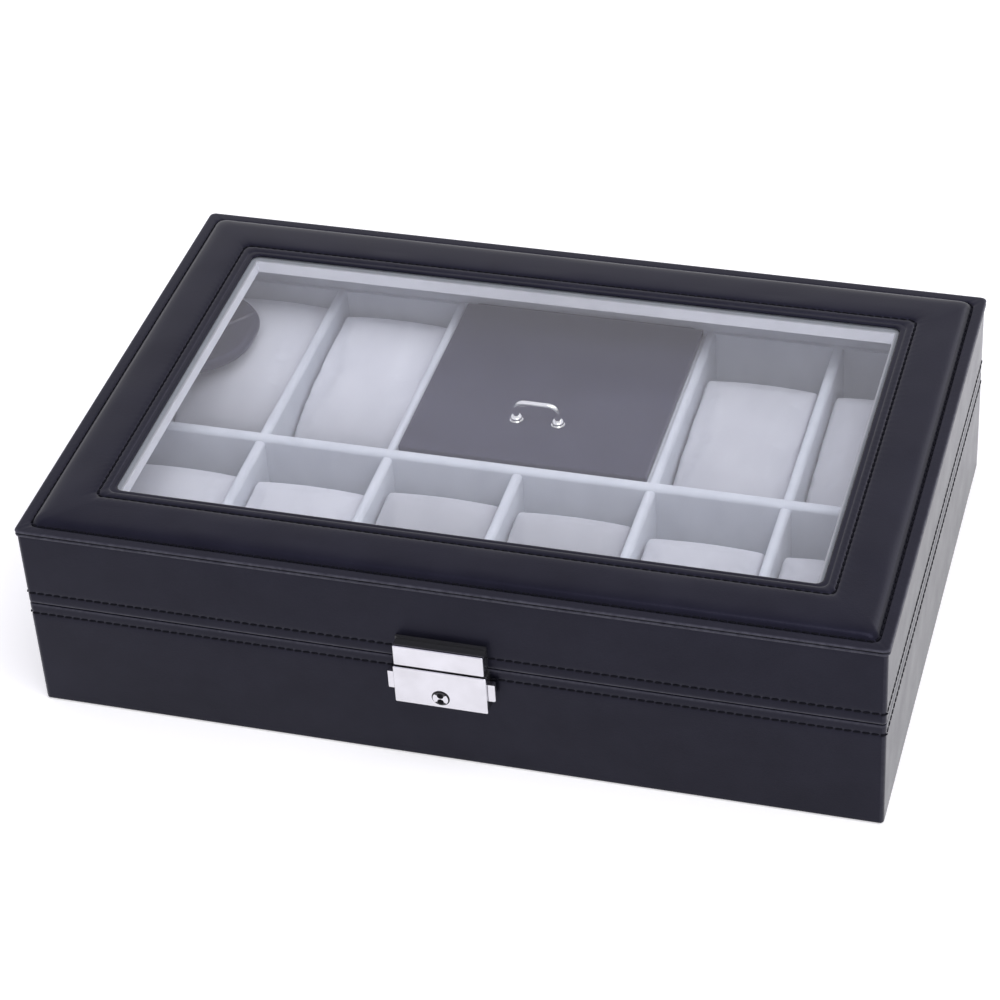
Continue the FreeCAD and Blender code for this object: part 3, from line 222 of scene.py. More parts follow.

# %% [markdown]
# ## Black leather
# The skin is coated leather: near black with a breath of blue, pressed with a fine pebble grain and
# with a satin coat. Voronoi cells make the pebbles and noise breaks their evenness. Handling
# polishes and greys the exposed folds, and the lighter lines along rims and the strap's crease are
# painted highlights as well, so each leather piece carries a value on its points for wear and painted
# highlight.

# %% Leather and thread finishes
def leather_finish(name, dark, light, worn_and_lit, rough):
    """Pebbled leather: colour and gloss vary in clouds, and rubbed rims and creases turn greyer and smoother,
    partly wear and partly painted highlight.
    """
    finish, tree, shader, place = new_finish(
        name, Specular_IOR_Level=0.3, Specular_Tint=(0.28, 0.27, 0.51, 1.0),
        Coat_Weight=0.35, Coat_IOR=1.2, Coat_Roughness=0.16)
    cloud = noise(tree, place, 0.06, 5)
    pebble = add(tree, "ShaderNodeTexVoronoi", "Distance", Vector=place, Scale=1.7, Randomness=0.9)
    fine = noise(tree, place, 5.0, 2)
    body = between(tree, cloud, dark, light)
    wear_and_highlight = add(tree, "ShaderNodeAttribute", "Fac", {"attribute_name": "wear_and_highlight"})
    rubbed_and_lit = maths(tree, "MULTIPLY", wear_and_highlight, noise(tree, place, 0.5, 4))
    colour = mixed(tree, rubbed_and_lit, body, (*worn_and_lit, 1))
    gloss = maths(tree, "SUBTRACT", ranged(tree, cloud, rough - 0.03, rough + 0.04),
                  maths(tree, "MULTIPLY", rubbed_and_lit, 0.12))
    grain = bumped(tree, pebble, 0.05, 0.35, bumped(tree, fine, 0.02, 0.3))
    feed(tree, shader, Base_Color=colour, Roughness=gloss, Normal=grain, Coat_Normal=grain)
    return finish


black_leather = leather_finish("black_leather", (0.004, 0.004, 0.007), (0.008, 0.008, 0.013),
                               (0.11, 0.11, 0.13), 0.36)
# A lighter copy of the black leather for the pieces under the glass: painted reflection of the glass's glare
# over them. Its greyer worn colour paints the highlight on the strap's crease.
glass_glare_leather = leather_finish("glass_glare_leather", (0.022, 0.022, 0.040), (0.033, 0.033, 0.056),
                               (0.40, 0.40, 0.44), 0.34)
thread_finish, tree, shader, place = new_finish("black_thread", Roughness=0.9, Specular_IOR_Level=0.06)
twist = add(tree, "ShaderNodeTexWave", "Fac", {"wave_type": "BANDS", "bands_direction": "DIAGONAL"},
            Vector=place, Scale=1.6, Distortion=0.4)
feed(tree, shader, Base_Color=between(tree, twist, (0.006, 0.006, 0.009), (0.013, 0.013, 0.018)),
     Normal=bumped(tree, twist, 0.06))
print("finishes", [finish.name for finish in (black_leather, glass_glare_leather, thread_finish)])

# %% [markdown]
# ## Velvet
# The tray, the dividers and the pillows wear a short pale velvet. Pile catches light at a slant, which
# the shader's sheen gives, and brushing leaves soft cloudy marks in it. A fine noise in the bump
# stands for the pile itself. A pillow also carries a value on its points for painted shade, which
# darkens its velvet towards a fifth of the velvet's shade colour.

# %% Velvet finishes
def velvet_finish(name, shade, light, stretch):
    """Short pile: cloudy brushed marks drawn out along one way, a pile bump and a soft sheen."""
    finish, tree, shader, place = new_finish(
        name, Roughness=0.92, Sheen_Weight=0.35, Sheen_Roughness=0.45,
        Sheen_Tint=(0.9, 0.93, 1.0, 1.0), Specular_IOR_Level=0.15)
    brushed = noise(tree, place, 0.09, 5, stretch)
    pile = noise(tree, place, 4.5, 3)
    marks = maths(tree, "MULTIPLY_ADD", pile, 0.35, maths(tree, "MULTIPLY", brushed, 0.65))
    # Painted shade: a pillow's painted shade value mixes the colour towards a fifth of the shade colour.
    painted_shade = add(tree, "ShaderNodeAttribute", "Fac", {"attribute_name": "painted_shade"})
    away = (*(0.2 * np.array(shade)), 1)
    colour = mixed(tree, painted_shade, between(tree, marks, shade, light), away)
    feed(tree, shader, Base_Color=colour, Normal=bumped(tree, pile, 0.10, 0.5))
    return finish


card_velvet = velvet_finish("card_velvet", (0.475, 0.50, 0.565), (0.565, 0.59, 0.655), (1.0, 1.0, 0.5))
pillow_velvet = velvet_finish("pillow_velvet", (0.57, 0.58, 0.65), (0.67, 0.68, 0.75), (1.0, 0.45, 1.0))
# A lighter copy of the card velvet for the window's lining: painted light on the strip round the glass.
painted_light_velvet = velvet_finish("painted_light_velvet", (0.66, 0.67, 0.73), (0.75, 0.76, 0.82), (1.0, 1.0, 0.5))
print("velvets", card_velvet.name, pillow_velvet.name, painted_light_velvet.name)

# %% [markdown]
# ## Metal
# The lock is plated and finely brushed, so its noise is drawn out along the length. Its back edge is
# painted dark, a painted reflection of the leather above, and the hollow round its keyhole is painted
# dark, a painted shade; a mask worked out from the place finds both. On the barrel's face a painted
# reflection is dark above and below a bow tie. The hinges are plain steel with coarser marks, and the
# handle is smooth chrome.

# %% Metal finishes
PLATE_BACK = -103.9, -103.75
BARREL_FACE = -105.4
KEYHOLE_HEIGHT, KEYHOLE_RING = 32.65, 3.2


def lock_painted_dark(tree, place):
    """1 on the lock's back edge, behind the depth of its bright front, a painted reflection of the leather
    above, and in a ring round the keyhole, painted shade in its hollow.
    """
    deep = add(tree, "ShaderNodeSeparateXYZ", "Y", Vector=place)
    deep = add(tree, "ShaderNodeMapRange", Value=deep, From_Min=PLATE_BACK[0], From_Max=PLATE_BACK[1])
    flat = add(tree, "ShaderNodeVectorMath", 0, {"operation": "MULTIPLY"}, i0=place, i1=(1, 0, 1))
    away = add(tree, "ShaderNodeVectorMath", "Value", {"operation": "DISTANCE"},
               i0=flat, i1=(0, 0, KEYHOLE_HEIGHT))
    return maths(tree, "MAXIMUM", deep, maths(tree, "LESS_THAN", away, KEYHOLE_RING))


def keyhole_painted_dark(tree, place):
    """1 behind the barrel's face, painted shade in the hollow, and above and below a bow tie on it, a painted
    reflection, where the height over the keyhole's middle is more than 0.7 + 0.5 times the distance to the
    side."""
    split = tree.nodes.new("ShaderNodeSeparateXYZ")
    tree.links.new(place, split.inputs[0])
    rise = maths(tree, "ABSOLUTE", maths(tree, "SUBTRACT", split.outputs["Z"], KEYHOLE_HEIGHT))
    edge = maths(tree, "MULTIPLY_ADD", maths(tree, "ABSOLUTE", split.outputs["X"]), 0.5, 0.7)
    wedge = maths(tree, "GREATER_THAN", rise, edge)
    return maths(tree, "MAXIMUM", wedge, maths(tree, "GREATER_THAN", split.outputs["Y"], BARREL_FACE))


def metal_finish(name, low, high, rough, stretch, depth, painted_dark=None):
    """Metal with fine marks along one way, which vary its colour, gloss and height a little. Where the
    optional mask is 1, the metal turns dark and not metallic: painted shade and painted reflection."""
    finish, tree, shader, place = new_finish(name, Metallic=1.0)
    marks = noise(tree, place, 1.0, 4, stretch)
    colour = between(tree, noise(tree, place, 0.12, 3), low, high)
    if painted_dark:
        mask = painted_dark(tree, place)
        colour = mixed(tree, mask, colour, (0.03, 0.03, 0.033, 1))
        feed(tree, shader, Metallic=maths(tree, "SUBTRACT", 1.0, mask))
    feed(tree, shader, Base_Color=colour, Roughness=ranged(tree, marks, *rough),
         Normal=bumped(tree, marks, depth, 0.3))
    return finish


PLATE = (0.67, 0.66, 0.69), (0.75, 0.74, 0.78)
BRUSHED = 0.15, 3.0, 3.0
bright_plate = metal_finish("bright_plate", *PLATE, (0.10, 0.20), BRUSHED, 0.01)
lock_plate = metal_finish("lock_plate", *PLATE, (0.14, 0.24), BRUSHED, 0.01, lock_painted_dark)
keyhole_plate = metal_finish("keyhole_plate", *PLATE, (0.10, 0.20), BRUSHED, 0.01, keyhole_painted_dark)
handle_chrome = metal_finish("handle_chrome", (0.84, 0.84, 0.83), (0.92, 0.92, 0.90), (0.08, 0.16),
                             (3.0, 3.0, 0.3), 0.005)
hinge_steel = metal_finish("hinge_steel", (0.48, 0.48, 0.49), (0.60, 0.60, 0.61), (0.22, 0.38),
                           (0.2, 2.5, 2.5), 0.02)
metals = bright_plate, lock_plate, keyhole_plate, handle_chrome, hinge_steel
print("metals", [finish.name for finish in metals])

# %% [markdown]
# ## Glass and the hidden materials
# The glass is a clear pane that bends light a little and has faint smears. Light that comes straight from
# a lamp would be stopped by it, so for shadows the pane turns transparent. Boards, foam and felt show only
# where the box is open or turned, and each is one pattern with its own bump.

# %% Glass, board, foam and felt finishes
glass_finish, tree, shader, place = new_finish("window_glass_finish", Base_Color=(0.985, 0.995, 0.99, 1),
                                               Transmission_Weight=1.0, IOR=1.52)
smear = noise(tree, place, 0.03, 4)
feed(tree, shader, Roughness=ranged(tree, smear, 0.0, 0.012))
shadow = add(tree, "ShaderNodeLightPath", "Is Shadow Ray")
clear = add(tree, "ShaderNodeBsdfTransparent")
pane = add(tree, "ShaderNodeMixShader", i0=shadow, i1=shader.outputs[0], i2=clear)
tree.links.new(pane, tree.nodes["Material Output"].inputs["Surface"])

board_finish, tree, shader, place = new_finish("board_finish", Roughness=0.75)
fibre = noise(tree, place, 0.8, 6, (0.12, 1.0, 1.0))
feed(tree, shader, Base_Color=between(tree, fibre, (0.25, 0.16, 0.09), (0.42, 0.29, 0.18)),
     Normal=bumped(tree, fibre, 0.08))

foam_finish, tree, shader, place = new_finish("foam_finish", Roughness=0.95)
pore = add(tree, "ShaderNodeTexVoronoi", "Distance", Vector=place, Scale=1.2)
feed(tree, shader, Base_Color=between(tree, pore, (0.42, 0.38, 0.28), (0.72, 0.68, 0.56)),
     Normal=bumped(tree, pore, 0.3))

felt_finish, tree, shader, place = new_finish("felt_finish", Roughness=0.95, Sheen_Weight=0.25)
tangle = noise(tree, place, 1.6, 8)
feed(tree, shader, Base_Color=between(tree, tangle, (0.006, 0.006, 0.007), (0.028, 0.028, 0.03)),
     Normal=bumped(tree, tangle, 0.15))
print("other finishes", glass_finish.name, board_finish.name, foam_finish.name, felt_finish.name)

# %% [markdown]
# ## A profile carried round the box
# Every leather skin has one cross-section that runs round four sides and four rounded corners. A point
# of a rounded rectangle is m (half - r) + d r: m picks the corner or the place between two corners, and
# d is the direction outward. With m and d worked out once, a whole skin is one line of arithmetic.

# %% The path round the box and the smooth profiles
LENGTH, WIDTH = 300.0, 200.0


def path_round(half_x, half_y, step, corner=11):
    """m and d of a rounded rectangle's points, run counterclockwise from the right side's middle."""
    turn = np.linspace(0, math.pi / 2, corner)
    middles, directions = [], []
    for quarter in range(4):
        run = half_y if quarter % 2 == 0 else half_x
        along = np.linspace(-1, 1, int(2 * run / step))[1:-1]
        angle = quarter * math.pi / 2
        spin = np.array(((math.cos(angle), -math.sin(angle)), (math.sin(angle), math.cos(angle))))
        side = np.column_stack((np.ones_like(along), along))
        arc = np.column_stack((np.cos(turn), np.sin(turn)))
        middles += [side @ spin.T, np.tile((1.0, 1.0), (corner, 1)) @ spin.T]
        directions += [np.tile((1.0, 0.0), (len(along), 1)) @ spin.T, arc @ spin.T]
    return np.vstack(middles), np.vstack(directions)


def rounded_path(middles, directions, half_x, half_y, radius):
    """Points m (half - r) + d r for every row of half sizes and radii, of shape (rows, columns, 2)."""
    half = np.stack(np.broadcast_arrays(half_x, half_y), -1)
    radius = np.asarray(radius)[..., None]
    return middles * (half - radius)[:, None, :] + directions * radius[:, None, :]


def smooth(profile, rounds=2):
    """Corner cutting on a closed outline: every edge gives its points at a quarter and at three quarters,
    again and again."""
    for _ in range(rounds):
        after = np.roll(profile, -1, 0)
        profile = np.stack((0.75 * profile + 0.25 * after, 0.25 * profile + 0.75 * after), 1)
        profile = profile.reshape(-1, profile.shape[-1])
    return profile


def carried_round(profile, radius, path):
    """Grid of a profile of (inset, height) rows carried round the box, with a corner radius for each."""
    inset, height = profile[:, 0], profile[:, 1]
    flat = rounded_path(*path, LENGTH / 2 - inset, WIDTH / 2 - inset, radius)
    tall = np.broadcast_to(height[:, None, None], (*flat.shape[:2], 1))
    return np.concatenate((flat, tall), -1)


skin_path = path_round(LENGTH / 2, WIDTH / 2, 1.25)
print("columns round the box", len(skin_path[0]))

# %% [markdown]
# ## The side skins
# The leather of the base and of the lid wraps the walls and turns in over the rims. Each has a row of
# stitches next to the parting line, which pulls a shallow channel, and the lid's ends above in the lower
# of two sewn layers, a small bead. Long low waves keep the walls from looking like sheet metal.

# %% Sew the side skins
STITCH = 3.0
PULL, PUCKER, WAVE = 0.10, 0.06, 0.06
CORNER = 1.5


def along_path(grid_row):
    """Distance along a closed row of points, and its whole length."""
    step = np.linalg.norm(np.roll(grid_row, -1, 0) - grid_row, axis=1)
    return np.concatenate(((0,), np.cumsum(step)[:-1])), step.sum()


def waves(distance, length, seed, sizes=(3, 5, 8, 13)):
    """Sum of whole waves along the path with seeded phases, from about -1 to 1."""
    phases = np.random.default_rng(seed).uniform(0, 2 * math.pi, len(sizes))
    angle = 2 * math.pi * distance[:, None] * np.array(sizes) / length + phases
    return np.sin(angle).mean(1) * 1.6


def give_value(mesh, name, values):
    """Stores one number for each point of a mesh, such as how rubbed and lit it is."""
    store = mesh.attributes.new(name, "FLOAT", "POINT")
    store.data.foreach_set("value", values.astype(np.float32).ravel())


def side_skin(name, profile, seam, rubbed_and_lit, seed):
    """A side skin: the smoothed profile, pulled in at each stitch of the seam and waved between."""
    profile = smooth(np.array(profile, float))
    grid = carried_round(profile, np.maximum(CORNER - profile[:, 0], 0.3), skin_path)
    distance, length = along_path(grid[0])
    stitches = round(length / STITCH)
    outer = np.clip(1 - profile[:, 0] / 0.3, 0, 1)
    near = np.exp(-((profile[:, 1] - seam) / 1.1) ** 2) * outer
    pull = near[:, None] * (PULL + PUCKER * np.cos(2 * math.pi * distance * stitches / length))
    flat = np.clip((profile[:, 1] - profile[:, 1].min() - 3) / 6, 0, 1) * outer
    flat *= np.clip((profile[:, 1].max() - profile[:, 1] - 3) / 6, 0, 1)
    wave = flat[:, None] * WAVE * waves(distance, length, seed)
    grid[:, :, :2] += skin_path[1] * (wave - pull)[..., None]
    piece = grid_piece(name, grid, round_rows=True)
    corner = np.abs(skin_path[1]).min(1) > 0.05
    # Lighter rims at the parting line and the bead, and on the corners: partly wear, partly painted
    # highlight.
    wear_and_highlight = np.exp(-(np.abs(profile[:, 1:2] - np.array(rubbed_and_lit)).min(1) / 0.7) ** 2)[:, None] * outer[:, None]
    give_value(piece.data, "wear_and_highlight", np.maximum(wear_and_highlight, 0.25 * (outer[:, None] * corner)))
    dress(piece, black_leather)
    return piece


BASE_SEAM, LID_SEAM = 40.0, 49.0
base_profile = [
    (0.9, 0.62), (0.25, 0.6), (0.03, 0.62), (0, 0.95), (0, 10), (0, 24), (0, 38.4), (0, 39.4),
    (0.1, BASE_SEAM), (0, 40.6), (0, 41.6), (0, 43.2), (0.03, 43.9), (0.25, 44.22), (0.8, 44.25),
    (2.6, 44.25), (4.45, 44.25), (4.5, 43.9), (4.45, 43.4), (1.6, 43.38), (0.9, 43.2), (0.9, 30), (0.9, 10)]
lid_profile = [
    (4.05, 45.4), (4.1, 45.0), (4.05, 44.58), (2.4, 44.55), (0.8, 44.55), (0.25, 44.58), (0.03, 44.9),
    (0, 45.6), (0, 47.4), (0, 48.4), (0.1, LID_SEAM), (0, 49.6), (0, 51), (0, 60), (0, 69), (0, 73.2),
    (0.05, 74.1), (-0.1, 74.3), (-0.45, 74.4), (-0.61, 74.64), (-0.6, 74.9), (-0.38, 75.14), (0.1, 75.3),
    (0.85, 75.42), (0.9, 74.8), (0.9, 60), (0.9, 46), (1.6, 45.45)]
base_skin = side_skin("base_skin", base_profile, BASE_SEAM, rubbed_and_lit=(44.1,), seed=3)
lid_skin = side_skin("lid_skin", lid_profile, LID_SEAM, rubbed_and_lit=(44.7, 74.9), seed=4)
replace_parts(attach(base_skin, "base"), "base_leather")
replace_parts(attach(lid_skin, "lid"), "lid_side_leather")

# %% [markdown]
# ## The padded frame
# On the lid a strip of foam lies under the leather between two seams, so the leather rises from the outer
# seam, rounds over and dives into the inner seam. A thin hem runs on to the window. Each stitch draws
# the leather down, and between stitches it lifts a little, which gives the fine puckers along a seam.

# %% Sew the padded frame
OUTER_SEAM, INNER_SEAM, HEM, FRAME = 3.8, 21.5, 24.4, 26.5
OUTER_CORNER, INNER_CORNER = 3.0, 2.8
LIP = -0.62
CROWN_WAVE = 0.10
pad_profile = smooth(np.array([
    (0.6, 75.5), (0.1, 75.6), (-0.35, 75.74), (-0.58, 75.96), (LIP, 76.2), (-0.5, 76.46), (-0.1, 76.55),
    (1.2, 76.57), (2.6, 76.55), (3.3, 76.45), (OUTER_SEAM, 75.95), (4.2, 76.65), (4.7, 77.4), (5.5, 78.05),
    (6.8, 78.5), (9, 78.8), (12.65, 78.97), (15.5, 79.05), (18.5, 79.06), (20.3, 78.92), (21.1, 78.6),
    (INNER_SEAM, 78.2), (21.9, 78.55), (22.6, 78.75), (23.6, 78.75), (24.3, 78.62), (24.55, 78.35),
    (24.8, 78.35), (25.6, 78.4), (26.2, 78.3), (FRAME, 77.95), (FRAME, 77.6), (26.3, 77.48), (24, 77.48),
    (21.5, 77.48), (18, 78.2), (12.65, 78.35), (8, 77.4), (5, 75.9), (3, 75.48)], float))


def frame_skin():
    """The pad's profile round the box. Its height gains a pucker at each seam, a cosine along the seam that
    falls off as e to the minus distance from it, and soft waves on the crown."""
    inset, height = pad_profile[:, 0], pad_profile[:, 1]
    radius = np.interp(inset, (0.5, OUTER_SEAM, 7, 13, 18, INNER_SEAM, FRAME),
                       (2.1, OUTER_CORNER, 3.6, 4.2, 3.4, INNER_CORNER, 3))
    grid = carried_round(pad_profile, radius, skin_path)
    top = np.arange(len(inset)) < np.argmin(np.where(inset > 26, height, 99))
    distance, length = along_path(grid[0])
    for seam in (OUTER_SEAM, INNER_SEAM):
        row = int(np.argmin(np.where(top, np.abs(inset - seam), 99)))
        run, whole = along_path(grid[row])
        near = np.exp(-np.abs(inset - seam) / 1.6) * (np.abs(inset - seam) > 0.25) * top
        grid[:, :, 2] -= near[:, None] * PUCKER * np.cos(2 * math.pi * run * round(whole / STITCH) / whole)
    crown = np.clip((inset - 5) / 4, 0, 1) * np.clip((20 - inset) / 4, 0, 1) * top
    grid[:, :, 2] += crown[:, None] * CROWN_WAVE * waves(distance, length, 5, (7, 11, 17, 29))
    piece = grid_piece("padded_frame", grid, round_rows=True)
    # Lighter lines along the lip and the hem: partly wear, partly painted highlight.
    edge = np.exp(-((inset - LIP) / 0.5) ** 2) + 0.2 * np.exp(-((inset - HEM) / 0.4) ** 2)
    give_value(piece.data, "wear_and_highlight", np.repeat(np.clip(edge * top, 0, 1), grid.shape[1]))
    dress(piece, black_leather)
    return piece


padded_frame = frame_skin()
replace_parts(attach(padded_frame, "lid"), "lid_top_leather")

# %% [markdown]
# ## Stitches
# A lockstitch shows as a row of short thread bars, each dipping into its two holes. One bar is a spindle:
# rings whose radius falls to nothing at both ends. All the bars of a seam are worked out together, as an
# array of centres with the path's own directions, and make one piece.

# %% Sew the four seams
SPINDLE = np.linspace(-1, 1, 7)
AROUND = np.linspace(0, 2 * math.pi, 7)[:-1]
BAR, DIP, SLANT = 2.95, 0.16, 0.10


def stitched(name, inset, radius, height, on_top, thick=0.8):
    """A row of spindles along a rounded rectangle, on top of the lid or on a side. Each spindle's radius
    is thick / 2 times (1 - t^4)^0.6 as t goes from -1 to 1, and its ends dip by t^4."""
    half_x, half_y = LENGTH / 2 - inset, WIDTH / 2 - inset
    fine = path_round(half_x, half_y, 0.2, 13)
    line = rounded_path(*fine, np.array([half_x]), np.array([half_y]), np.array([radius]))[0]
    distance, whole = along_path(line)
    places = (np.arange(round(whole / STITCH)) + 0.5) * whole / round(whole / STITCH)
    at = np.stack([np.interp(places, distance, line[:, axis], period=whole) for axis in (0, 1)], 1)
    out = np.stack([np.interp(places, distance, fine[1][:, axis], period=whole) for axis in (0, 1)], 1)
    out = np.column_stack((out / np.linalg.norm(out, axis=1, keepdims=True), np.zeros(len(at))))
    ahead = np.column_stack((-out[:, 1], out[:, 0], np.zeros(len(at))))
    rise = np.tile((0.0, 0.0, 1.0), (len(at), 1))
    lift, side = (rise, out) if on_top else (out, rise)
    centre = np.column_stack((at, np.full(len(at), height)))
    swell = thick / 2 * (1 - SPINDLE ** 4) ** 0.6
    dip = -DIP * SPINDLE ** 4
    slant = SLANT * SPINDLE
    grid = (centre[:, None, None, :] + ahead[:, None, None, :] * (BAR / 2 * SPINDLE)[:, None, None]
            + lift[:, None, None, :] * (0.8 * swell[:, None] * np.sin(AROUND) + dip[:, None])[..., None]
            + side[:, None, None, :] * (swell[:, None] * np.cos(AROUND) + slant[:, None])[..., None])
    one = quads(len(SPINDLE), len(AROUND))
    points = grid.reshape(-1, 3)
    one = outward(points[:len(SPINDLE) * len(AROUND)] - centre[0], one)
    faces = (one + (np.arange(len(at)) * len(SPINDLE) * len(AROUND))[:, None, None]).reshape(-1, 4)
    piece = piece_from_faces(name, points, faces, weld=True)
    dress(piece, thread_finish)
    print(name, len(at), "stitches")
    return piece


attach(stitched("outer_seam", OUTER_SEAM, OUTER_CORNER, 76.36, True), "lid")
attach(stitched("inner_seam", INNER_SEAM, INNER_CORNER, 78.5, True), "lid")
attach(stitched("lid_seam", 0.1, CORNER - 0.1, LID_SEAM, False, thick=0.85), "lid")
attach(stitched("base_seam", 0.1, CORNER - 0.1, BASE_SEAM, False, thick=0.85), "base")

# %% [markdown]
# ## The pillows
# A watch pillow is a velvet bag over a foam block: flat underneath, drawn in at its sides, crowned on
# top. Blowing up a cloth copy of the block gives that tension. The copy is made ten times as large for
# the simulation, because the solver is tuned for furniture sizes, its foot is pinned, and what
# comes out is limited to a small swelling and to the room between the dividers.

# %% Blow up a bag
SIMULATED = 10.0
SHRINK = np.array((0.975, 0.985, 0.98))
VOXEL, FOOT, SWELLING = 0.017, 0.02, 0.009
STEPS = 18


def welded_copy(node):
    """Points and faces of a solid's mesh with its loose triangles joined."""
    work = bmesh.new()
    work.from_mesh(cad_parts[node].data)
    bmesh.ops.remove_doubles(work, verts=work.verts, dist=1e-6)
    mesh = bpy.data.meshes.new(node + "_bag")
    work.to_mesh(mesh)
    work.free()
    return mesh


def points_of(mesh):
    """A mesh's points as an array."""
    flat = np.empty(len(mesh.vertices) * 3, np.float32)
    mesh.vertices.foreach_get("co", flat)
    return flat.reshape(-1, 3).astype(float)


def set_points(mesh, points):
    """Moves a mesh's points to an array's places."""
    mesh.vertices.foreach_set("co", points.astype(np.float32).ravel())
    mesh.update()


def evaluated(piece):
    """A mesh of the piece with its modifiers carried out."""
    return bpy.data.meshes.new_from_object(piece.evaluated_get(bpy.context.evaluated_depsgraph_get()))


def even_bag(node, foot):
    """A bag ten times as large as the solid, a little shrunk, standing at the origin, with an even mesh."""
    mesh = welded_copy(node)
    set_points(mesh, (points_of(mesh) - foot) * SIMULATED * SHRINK)
    bag = bpy.data.objects.new(node + "_bag", mesh)
    bpy.context.scene.collection.objects.link(bag)
    remesh = bag.modifiers.new("even", "REMESH")
    remesh.mode, remesh.voxel_size = "VOXEL", VOXEL
    even = evaluated(bag)
    bag.modifiers.clear()
    bag.data = even
    return bag


def blown_up(bag, start, pressure):
    """How far each point of a bag moves while the pressure in it swells its cloth and its foot is held."""
    held = bag.vertex_groups.new(name="foot")
    held.add(np.flatnonzero(start[:, 2] < FOOT).tolist(), 1.0, "REPLACE")
    cloth = bag.modifiers.new("blow up", "CLOTH")
    rules = cloth.settings
    rules.quality, rules.mass, rules.air_damping = 6, 0.3, 2.0
    rules.tension_stiffness = rules.compression_stiffness = 18.0
    rules.shear_stiffness, rules.bending_stiffness = 8.0, 0.6
    rules.use_pressure, rules.uniform_pressure_force = True, pressure
    rules.vertex_group_mass = "foot"
    rules.effector_weights.gravity = 0.0
    cloth.point_cache.frame_start, cloth.point_cache.frame_end = 1, STEPS
    for step in range(1, STEPS + 1):
        bpy.context.scene.frame_set(step)
    blown = evaluated(bag)
    bag.modifiers.clear()
    bpy.context.scene.frame_set(1)
    return points_of(blown) - start


print("bags are blown up in", STEPS, "steps at", SIMULATED, "times their size")

# %% [markdown]
# ## Pillows in their places
# Each bag goes back to its real size and place. A table gives each pillow its painted shade: how much
# it darkens at the pillow's back and how much more at its front. In the front row the shade grows soon,
# and in the back row only near the front. These amounts are chosen one by one.

# %% Fill the pillows
PAINTED_SHADE_AMOUNTS = {"back_pillow_1": (0.0, 0.5), "back_pillow_2": (0.0, 0.5), "back_pillow_3": (0.24, 0.25),
         "back_pillow_4": (0.28, 0.2), "front_pillow_1": (0.1, 0.2), "front_pillow_2": (0.1, 0.2),
         "front_pillow_3": (0.3, 0.35), "front_pillow_4": (0.33, 0.35), "front_pillow_5": (0.22, 0.2),
         "front_pillow_6": (0.22, 0.2)}
SIDE_ROOM, TOP_ROOM = 0.1 * MM, 0.6 * MM


def filled(node, pressure):
    """A pillow from its solid: each point moves as the blown bag's does, by no more than the swelling, and
    stays inside the room between the dividers."""
    low, high = (np.array(corner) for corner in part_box(node))
    foot = np.array(((low[0] + high[0]) / 2, (low[1] + high[1]) / 2, low[2]))
    bag = even_bag(node, foot)
    even = bag.data
    start = points_of(even)
    moved = blown_up(bag, start, pressure)
    far = np.linalg.norm(moved, axis=1, keepdims=True)
    end = (start + moved * np.minimum(1, SWELLING / np.maximum(far, 1e-9))) / SIMULATED + foot
    end[:, 0] = np.clip(end[:, 0], low[0] + SIDE_ROOM, high[0] - SIDE_ROOM)
    end[:, 2] = np.clip(end[:, 2], low[2], high[2] + TOP_ROOM)
    set_points(even, end)
    # Painted shade: each pillow darkens from its back towards its front by its own amounts.
    share = np.clip((high[1] - end[:, 1]) / (high[1] - low[1]), 0, 1)
    at_back, more = PAINTED_SHADE_AMOUNTS[node]
    give_value(even, "painted_shade",
               at_back + more * (share ** 2.5 if node.startswith("back") else 1 - (1 - share) ** 3))
    even.polygons.foreach_set("use_smooth", np.ones(len(even.polygons), bool))
    bag.name = node.replace("_pillow_", "_cushion_")
    bag.vertex_groups.clear()
    rounder = bag.modifiers.new("rounder", "SUBSURF")
    rounder.levels = rounder.render_levels = 1
    dress(bag, pillow_velvet)
    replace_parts(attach(bag, "base"), node)
    print(bag.name, len(even.polygons), "faces, swelled by", round(far.max() / SIMULATED / MM, 2), "mm")


for order, node in enumerate(sorted(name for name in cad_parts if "_pillow_" in name)):
    filled(node, 4.0 + 0.25 * (order % 3))

# %% [markdown]
# ## The inner lid
# The little lid is a board in leather, drawn tight over its edges and glued underneath. Its cover is the
# profile of an edge carried round a square and in to the middle, as the side skins are carried round the
# box, so the rounded edge and the small corners come out in one go.

# %% Cover the inner lid
def inner_cover():
    """The cover's edge profile round a square: from under the board, over the rounded edge, to the middle."""
    low, high = (np.array(corner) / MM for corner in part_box("inner_lid_leather"))
    half = (high - low)[:2] / 2
    foot, top = low[2], high[2]
    edge = np.array([
        (0.75, foot + 0.02), (0.05, foot + 0.02), (0, foot + 0.4), (0, top - 0.9), (0.05, top - 0.35),
        (0.35, top - 0.05), (1.0, top - 0.01), (3, top), (12, top), (25, top), (38, top),
        (half.min() - 0.3, top), (half.min() - 0.02, top)])
    path = path_round(*half, 1.6)
    radius = np.clip(0.8 - edge[:, 0], 0.02, 0.8)
    flat = rounded_path(*path, half[0] - edge[:, 0], half[1] - edge[:, 0], radius)
    grid = np.concatenate((flat, np.broadcast_to(edge[:, 1, None, None], (*flat.shape[:2], 1))), -1)
    grid[:, :, :2] += (low + high)[:2] / 2
    piece = grid_piece("inner_lid_cover", grid)
    # A faint lighter line along the rounded edge: partly wear, partly painted highlight.
    rubbed_and_lit = 0.12 * np.exp(-((edge[:, 0] - 0.2) / 0.4) ** 2)
    give_value(piece.data, "wear_and_highlight", np.repeat(rubbed_and_lit, grid.shape[1]))
    return piece


inner_lid_cover = inner_cover()
dress(inner_lid_cover, glass_glare_leather)
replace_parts(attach(inner_lid_cover, "inner_lid"), "inner_lid_leather")

